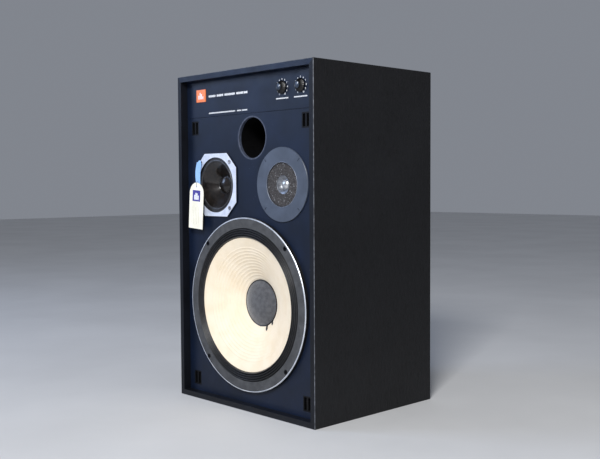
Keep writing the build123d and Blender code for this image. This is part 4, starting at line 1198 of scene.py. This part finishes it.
def cone_line(node_name, coil_name, flare, skin):
    """Front of a cone as (radius, depth) points from its rim to its neck."""
    winding = 0.9
    rim_r, rim_depth = radius(node_name), front(node_name)
    neck_r, neck_depth = radius(coil_name) - winding, back(node_name) - skin
    waist = ((rim_r + neck_r) / 2, (rim_depth + neck_depth) / 2 - flare)
    return arc((rim_r, rim_depth), waist, (neck_r, neck_depth), 120)


def cap_outline(node_name, skin):
    """Closed outline of a shallow dust cap."""
    top, rim, r = front(node_name), back(node_name), radius(node_name)
    rise = rim - top
    foot = r - skin
    outside = arc((0, top), (0.6 * r, rim - 0.68 * rise), (r, rim), 26)
    inside = arc((0, top + skin), (0.6 * foot, rim - 0.66 * (rise - skin)), (foot, rim), 12)
    return outside + inside[::-1]


def with_lip(front_line, line, first_r, step, count, skin, thick):
    """Closed outline of a surround, from its front and a lip that is glued behind the cone."""
    glue = 0.1
    for i in range(1, count + 1):
        r = first_r - i * step
        front_line.append((r, depth_at(line, r) + skin + glue))
    return front_line + [(r, depth + thick) for r, depth in front_line[::-1]]


def glue_outline(line, r, half_width, height):
    """Closed outline of a bead of glue on a cone's front."""
    crown = []
    for i in range(9):
        a = math.pi * i / 8
        at = r + half_width * math.cos(a)
        crown.append((at, depth_at(line, at) - height * math.sin(a)))
    return crown + [(r - half_width, crown[-1][1] + 0.4), (r + half_width, crown[0][1] + 0.4)]


def wavering(amount, seed):
    """A shape that makes a bead of glue wander a little."""

    def shape(r, depth, around):
        spot = Vector((math.cos(around) * 4, math.sin(around) * 4, seed))
        return r + amount * noise.noise(spot), depth

    return shape


def flex(piece):
    """Bakes a piece's transform into its mesh."""
    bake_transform(piece)


class SPEAKER_OT_woofer(bpy.types.Operator):
    """Adds the woofer's ribbed cone, surround, felt cap, glue, lead seals and braided leads"""

    bl_idname = "speaker.woofer"
    bl_label = "Woofer"

    def execute(self, context):
        look = context.scene.speaker_woofer
        skin, flare = look.skin / MM, look.flare / MM
        middle = centre("woofer_cone")
        rim_r = radius("woofer_cone")
        line = cone_line("woofer_cone", "woofer_voice_coil", flare, skin)
        cap_r = radius("woofer_dust_cap")
        first_rib, last_rib = cap_r + 5, rim_r - 18
        ribs = [first_rib + (last_rib - first_rib) * i / (look.ribs - 1) for i in range(look.ribs)]
        rib_height, rib_half = look.rib_height / MM, 0.95
        face = []
        for r, depth in line:
            raised = sum(math.exp(-(((r - rib) / rib_half) ** 2)) for rib in ribs)
            face.append((r, depth - rib_height * raised))
        rear_face = [(r, depth + skin) for r, depth in line[::5] + [line[-1]]]
        rounding = [(rim_r + 0.25, front("woofer_cone") + 0.5 * skin)]
        outline = rounding + face + rear_face[::-1]
        cone = add_piece(
            "ribbed_cone", *turned(outline, middle, 224), "woofer_diaphragm", "cream_paper", 50
        )
        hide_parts("woofer_cone")

        cap = add_piece(
            "felt_dust_cap",
            *turned(cap_outline("woofer_dust_cap", 1.0), middle, 128),
            "woofer_diaphragm",
            "charcoal_felt",
            50,
        )
        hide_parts("woofer_dust_cap")

        add_piece(
            "cap_glue",
            *turned(glue_outline(line, cap_r + 0.5, 1.7, 1.3), middle, 192, wavering(0.5, 3.0)),
            "woofer_diaphragm",
            "black_glue",
            60,
        )
        # Two short dabs of glue seal the holes where the leads come through
        dabs = []
        for (x0, z0), (x1, z1) in (((14.2, -37.2), (20.2, -47.6)), ((29.6, -27.2), (34.0, -36.0))):
            points, sections = [], []
            for i in range(13):
                t = i / 12
                x, z = x0 + (x1 - x0) * t, z0 + (z1 - z0) * t
                points.append(place(x, depth_at(line, math.hypot(x, z)) - 0.05, z, middle))
                sections.append(2.3 * math.sqrt(max(1 - (2 * t - 1) ** 4, 0.02)))
            half_round = [(math.cos(math.pi * j / 6), 0.8 * math.sin(math.pi * j / 6)) for j in range(7)]
            section = half_round + [(-1, -0.3), (1, -0.3)]
            dabs.append(tapered(points, section, sections, Vector((0, -1, 0))))
        add_piece("lead_seals", *joined(dabs), "woofer_diaphragm", "black_glue", 60)

        # Surround: a flat edge under the gasket, round pleats, and a lip glued behind the cone
        edge_r, edge_width, gasket_thick = radius("woofer_surround"), 6.0, 1.6
        pleat_r = edge_r - edge_width
        seat, thick = front("woofer_gasket") + gasket_thick, 1.0
        top = front("woofer_surround")
        inner_r = rim_r + 0.3
        pleats = 4
        front_line = [(edge_r, seat)]
        for i in range(15 * pleats + 1):
            t = i / (15 * pleats)
            lift = (seat - top) * (0.5 - 0.5 * math.cos(2 * math.pi * pleats * t)) ** 0.8
            front_line.append((pleat_r + (inner_r - pleat_r) * t, seat - lift))
        outline = with_lip(front_line, line, rim_r - 0.4, 1, 4, skin, thick)
        surround = add_piece(
            "pleated_surround", *turned(outline, middle, 224), "", "black_doped_cloth", 60
        )
        flex(surround)
        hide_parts("woofer_surround")

        # Two braided leads run from the cone's neck to a leg
        near_r, far_r, strand_r = 60.0, 100.0, 1.0
        start_rise, end_rise, leg_inset = 12.1, 7.6, 0.59
        neck, leg = line[-1][1], back("woofer_tinsel_leads") - leg_inset
        bends = [(near_r, neck - start_rise), (66, neck - 2), (81, neck)]
        bends += [(94.5, leg - end_rise), (far_r, leg)]
        braid = circle(strand_r, 10)
        tubes = []
        for degrees in (-50, -40):
            side, up = math.cos(math.radians(degrees)), math.sin(math.radians(degrees))
            route = [place(r * side, depth, r * up, middle) for r, depth in bends]
            tubes.append(swept(smooth_line("lead_line", route), braid, Vector((-up, 0, side))))
        leads = add_piece("braided_leads", *joined(tubes), "", "copper_winding", 60)
        flex(leads)
        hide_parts("woofer_tinsel_leads")

        rim_width = 2.1
        rim = radius("woofer_basket") - rim_width
        second_finish(
            "woofer_basket",
            "turned_rim",
            lambda s, n: n.y < -0.3 and math.hypot(s.x, s.z - middle[1] / MM) > rim,
        )
        return {"FINISHED"}


def tapered(points, section, sizes, facing):
    """Vertices and faces of a section carried along points with its own size at each."""
    vertices, faces = swept(points, section, facing)
    count = len(section)
    for i, (here, size) in enumerate(zip(points, sizes)):
        for j in range(i * count, (i + 1) * count):
            vertices[j] = here + (vertices[j] - here) * size
    return vertices, faces


class SPEAKER_OT_midrange(bpy.types.Operator):
    """Adds the midrange's glossy cone, cap, roll and glue, and finishes its frame"""

    bl_idname = "speaker.midrange"
    bl_label = "Midrange"

    def execute(self, context):
        look = context.scene.speaker_mid
        skin, flare = look.skin / MM, look.flare / MM
        middle = centre("mid_cone")
        line = cone_line("mid_cone", "mid_voice_coil", flare, skin)
        rim_r = radius("mid_cone")
        outline = [(rim_r + 0.15, line[0][1] + 0.5 * skin)] + line[::2] + [line[-1]]
        outline += [(r, depth + skin) for r, depth in (line[::6] + [line[-1]])[::-1]]
        cone = add_piece("glossy_mid_cone", *turned(outline, middle, 160), "mid_diaphragm", "black_paper", 50)
        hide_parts("mid_cone")
        cap = add_piece(
            "glossy_mid_cap",
            *turned(cap_outline("mid_dust_cap", 0.7), middle, 96),
            "mid_diaphragm",
            "black_paper",
            50,
        )
        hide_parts("mid_dust_cap")
        bead = glue_outline(line, radius("mid_dust_cap") + 0.3, 0.8, 0.6)
        add_piece(
            "mid_cap_glue", *turned(bead, middle, 128, wavering(0.25, 7.0)), "mid_diaphragm", "black_glue", 60
        )

        edge_r, roll_r, inner_r = radius("mid_surround"), 46.0, rim_r + 0.3
        seat, top, thick = line[0][1], front("mid_surround"), 0.8
        front_line = [(edge_r, seat), (roll_r + 0.3, seat)]
        for i in range(17):
            t = i / 16
            lift = (seat - top) * math.sqrt(max(1 - (2 * t - 1) ** 2, 0))
            front_line.append((roll_r + (inner_r - roll_r) * t, seat - lift))
        outline = with_lip(front_line, line, rim_r - 0.3, 0.8, 3, skin, thick)
        # The roll's greyer cloth is a painted highlight
        roll = add_piece("mid_roll", *turned(outline, middle, 160), "", "thick_doped_cloth", 60)
        flex(roll)
        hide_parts("mid_surround")

        opening = 50.0
        face = front("mid_frame")
        second_finish(
            "mid_frame",
            "black_moulding",
            lambda s, n: s.y > face + 0.55
            or (n.y > -0.3 and math.hypot(s.x - middle[0] / MM, s.z - middle[1] / MM) < opening + 0.5),
        )
        return {"FINISHED"}


class SPEAKER_OT_tweeter(bpy.types.Operator):
    """Adds the dented foam ring, the small cone with its foil cap, and the rings round both"""

    bl_idname = "speaker.tweeter"
    bl_label = "Tweeter"

    def execute(self, context):
        look = context.scene.speaker_tweeter
        skin = look.skin / MM
        middle = centre("tweeter_cone")
        line = cone_line("tweeter_cone", "tweeter_voice_coil", 0.5, skin)
        rim_r = radius("tweeter_cone")
        outline = line[::4] + [(r, depth + skin) for r, depth in line[::-10]]
        # The cone's darker foil is painted shade
        cone = add_piece("foil_cone", *turned(outline, middle, 128), "tweeter_diaphragm", "dull_foil", 50)
        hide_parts("tweeter_cone")
        cap = add_piece(
            "foil_cap",
            *turned(cap_outline("tweeter_dust_cap", 0.5), middle, 96),
            "tweeter_diaphragm",
            "silver_cap",
            50,
        )
        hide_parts("tweeter_dust_cap")

        inner, outer = rim_r + 0.3, radius("tweeter_foam_ring")
        top, floor = front("tweeter_foam_ring"), back("tweeter_foam_ring")
        swell = look.foam_swell / MM
        steps = 26
        crown = [(inner + (outer - inner) * i / steps, top) for i in range(steps + 1)]

        def dented(r, depth, around):
            if depth > top + 0.1:
                return r, depth
            spot = Vector((r * math.cos(around), r * math.sin(around), 0))
            dent = 0.5 + 0.5 * noise.noise(spot * 0.22)
            fine = 0.5 + 0.5 * noise.noise(spot * 0.9 + Vector((0, 0, 5)))
            edge = min(r - inner, outer - r)
            drop = 0.5 * max(0.0, 1 - edge / 1.2) ** 2
            return r, depth + swell * (0.6 * dent + 0.4 * fine) + drop

        foam = add_piece(
            "dented_foam_ring",
            *turned(crown + [(outer, floor), (inner, floor)], middle, 200, dented),
            "cabinet",
            "brown_foam",
            50,
        )
        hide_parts("tweeter_foam_ring")

        plate = front("tweeter_plate")
        # Pale beads on the plate's inner edge and on the cone's rim: they catch real light, and their pale
        # colour is a painted highlight
        for name, r, depth, size in (
            ("tweeter_trim_ring", outer - 0.2, plate + 0.35, 0.6),
            ("tweeter_cone_ring", rim_r + 0.35, front("tweeter_cone") - 0.1, 0.55),
        ):
            bead = turned(circle(size, 12, r, depth), middle, 160)
            add_piece(name, *bead, "cabinet", "satin_ring", 60)
        # The screw heads are painted with the plate, and their slots are bare
        second_finish("tweeter_screws", "grey_plate_paint", lambda s, n: s.y < plate + 0.3)
        return {"FINISHED"}


class SPEAKER_OT_tag(bpy.types.Operator):
    """Prints the hang tag and adds its eyelet"""

    bl_idname = "speaker.tag"
    bl_label = "Hang tag"

    def execute(self, context):
        lean = context.scene.speaker_tag.lean
        corner = 41.0122  # the ribbon's screw, from the middle of the midrange
        hole_shift, hole_drop = 2.0, 44.2  # the tag's hole, from that screw
        middle = centre("mid_frame")
        hole = (middle[0] + (-corner - hole_shift) * MM, middle[1] + (corner - hole_drop) * MM)
        face = front("hang_tag")

        def leaned(outline):
            side, up = math.cos(lean), math.sin(lean)
            return [(x * side + z * up, -x * up + z * side) for x, z in outline]

        def printed(outlines, proud=0.05):
            return joined([slab(leaned(o), hole, face - proud, face, proud * 0.4) for o in outlines])

        square = rounded(23, 20.4, 0.6, 2, (0, -16.6))
        add_piece("tag_square", *printed([square]), "swing_tag", "purple_ink")
        marks = [
            rounded(3.1, tall, 0.6, 2, (x, -24.0 + tall / 2))
            for x, tall in ((-5.2, 9), (-1.7, 13), (1.8, 12), (5.3, 8))
        ]
        add_piece("tag_mark", *printed(marks, 0.1), "swing_tag", "white_ink")
        columns = ((-12, 30), (-7, 34), (-2, 28), (3, 33), (8, 30))
        lines = [rounded(0.9, tall, 0.3, 2, (x, -52)) for x, tall in columns]
        add_piece("tag_lines", *printed(lines), "swing_tag", "grey_ink")
        # A pressed metal eyelet lines the hole
        flange_r = 2.6
        eyelet = [(flange_r, -0.25), (2.2, -0.4), (1.55, -0.2), (1.5, 0.9), (1.55, 0.95)]
        eyelet += [(flange_r, 0.95), (flange_r, 0.82), (1.62, 0.8), (1.62, -0.02), (flange_r, -0.02)]
        eyelet = [(r, face + depth) for r, depth in eyelet]
        add_piece("tag_eyelet", *turned(eyelet, hole, 48), "swing_tag", "white_ink", 40)
        return {"FINISHED"}


class SPEAKER_OT_rear(bpy.types.Operator):
    """Adds the screws, signs and label print on the back"""

    bl_idname = "speaker.rear"
    bl_label = "Back"

    def execute(self, context):
        look = context.scene.speaker_rear
        head, proud = look.screw_radius / MM, look.screw_height / MM

        def screw(x, z, face):
            shares = ((0, 0.35), (0.42, 0.35), (0.46, 0.98), (0.75, 0.85), (0.94, 0.5), (1, 0.1))
            outline = [(head * wide, face + high * proud) for wide, high in shares]
            outline += [(head, face - 0.2), (0, face - 0.2)]
            return turned(outline, (x * MM, z * MM), 36)

        cup_low, cup_high = (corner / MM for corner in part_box("terminal_cup"))
        flange, panel = back("terminal_cup"), back("back_panel")
        inset = 5.5
        sides = (cup_low.x + inset, cup_high.x - inset)
        levels = (cup_low.z + inset, cup_high.z - inset)
        spots = [(x, z) for x in sides for z in levels]
        add_piece(
            "cup_screws", *joined([screw(x, z, flange) for x, z in spots]), "cabinet", "black_screw", 40
        )
        back_low, back_high = (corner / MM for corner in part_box("back_panel"))
        margin = 12
        xs = (back_low.x + margin, 0.0, back_high.x - margin)
        run = back_high.z - back_low.z - 2 * margin
        zs = [back_low.z + margin + run * i / 4 for i in range(5)]
        spots = [(x, z) for x in xs for z in zs if x or z in (zs[0], zs[-1])]
        add_piece(
            "back_screws", *joined([screw(x, z, panel) for x, z in spots]), "cabinet", "black_screw", 40
        )

        cup_depth = 22.0
        floor = back("terminal_cup") - cup_depth
        signs = []
        for colour in ("red", "black"):
            x, z = (value / MM for value in centre(f"{colour}_terminal_button"))
            signs.append((rounded(6, 1.4, 0.3, 2, (x, z + 15)), floor))
            if colour == "red":
                signs.append((rounded(1.4, 6, 0.3, 2, (x, z + 15)), floor + 0.03))
        parts = [slab(outline, (0, 0), depth + 0.1, depth - 0.1, -0.04) for outline, depth in signs]
        add_piece("terminal_signs", *joined(parts), "cabinet", "white_ink")

        label = back("rating_plate")
        x, z = (value / MM for value in centre("rating_plate"))
        rows = []
        for drop, width in ((16, 60), (9, 70), (4, 52), (-1, 70), (-6, 64), (-14, 44)):
            rows.append(rounded(width, 1.3, 0.3, 2, (x + (70 - width) / 2, z + drop)))
        parts = [slab(outline, (0, 0), label + 0.05, label - 0.05, -0.02) for outline in rows]
        add_piece("label_lines", *joined(parts), "cabinet", "black_screw")
        return {"FINISHED"}


PIECE_OPERATORS = (
    SPEAKER_OT_stage,
    SPEAKER_OT_finishes,
    SPEAKER_OT_ribbon,
    SPEAKER_OT_case,
    SPEAKER_OT_baffle,
    SPEAKER_OT_knobs,
    SPEAKER_OT_woofer,
    SPEAKER_OT_midrange,
    SPEAKER_OT_tweeter,
    SPEAKER_OT_tag,
    SPEAKER_OT_rear,
)


class SPEAKER_PT_panel(bpy.types.Panel):
    """Lists the loudspeaker's pieces"""

    bl_idname = "SPEAKER_PT_panel"
    bl_label = "Loudspeaker"
    bl_space_type = "VIEW_3D"
    bl_region_type = "UI"
    bl_category = "Loudspeaker"

    def draw(self, context):
        for operator in PIECE_OPERATORS:
            self.layout.operator(operator.bl_idname)
        for holder, group in LOOKS.items():
            box = self.layout.box()
            box.label(text=group.__doc__)
            for key in group.__annotations__:
                box.prop(getattr(context.scene, holder), key)


def register():
    """Registers the property groups, the operators and the panel."""
    for holder, group in LOOKS.items():
        bpy.utils.register_class(group)
        setattr(bpy.types.Scene, holder, bpy.props.PointerProperty(type=group))
    for kind in (*PIECE_OPERATORS, SPEAKER_PT_panel):
        bpy.utils.register_class(kind)


def unregister():
    """Takes them away again."""
    for kind in (SPEAKER_PT_panel, *reversed(PIECE_OPERATORS)):
        bpy.utils.unregister_class(kind)
    for holder, group in LOOKS.items():
        delattr(bpy.types.Scene, holder)
        bpy.utils.unregister_class(group)


def main():
    """Builds the whole loudspeaker."""
    register()
    for operator in PIECE_OPERATORS:
        group, name = operator.bl_idname.split(".")
        getattr(getattr(bpy.ops, group), name)()


if __name__ == "__main__":
    main()
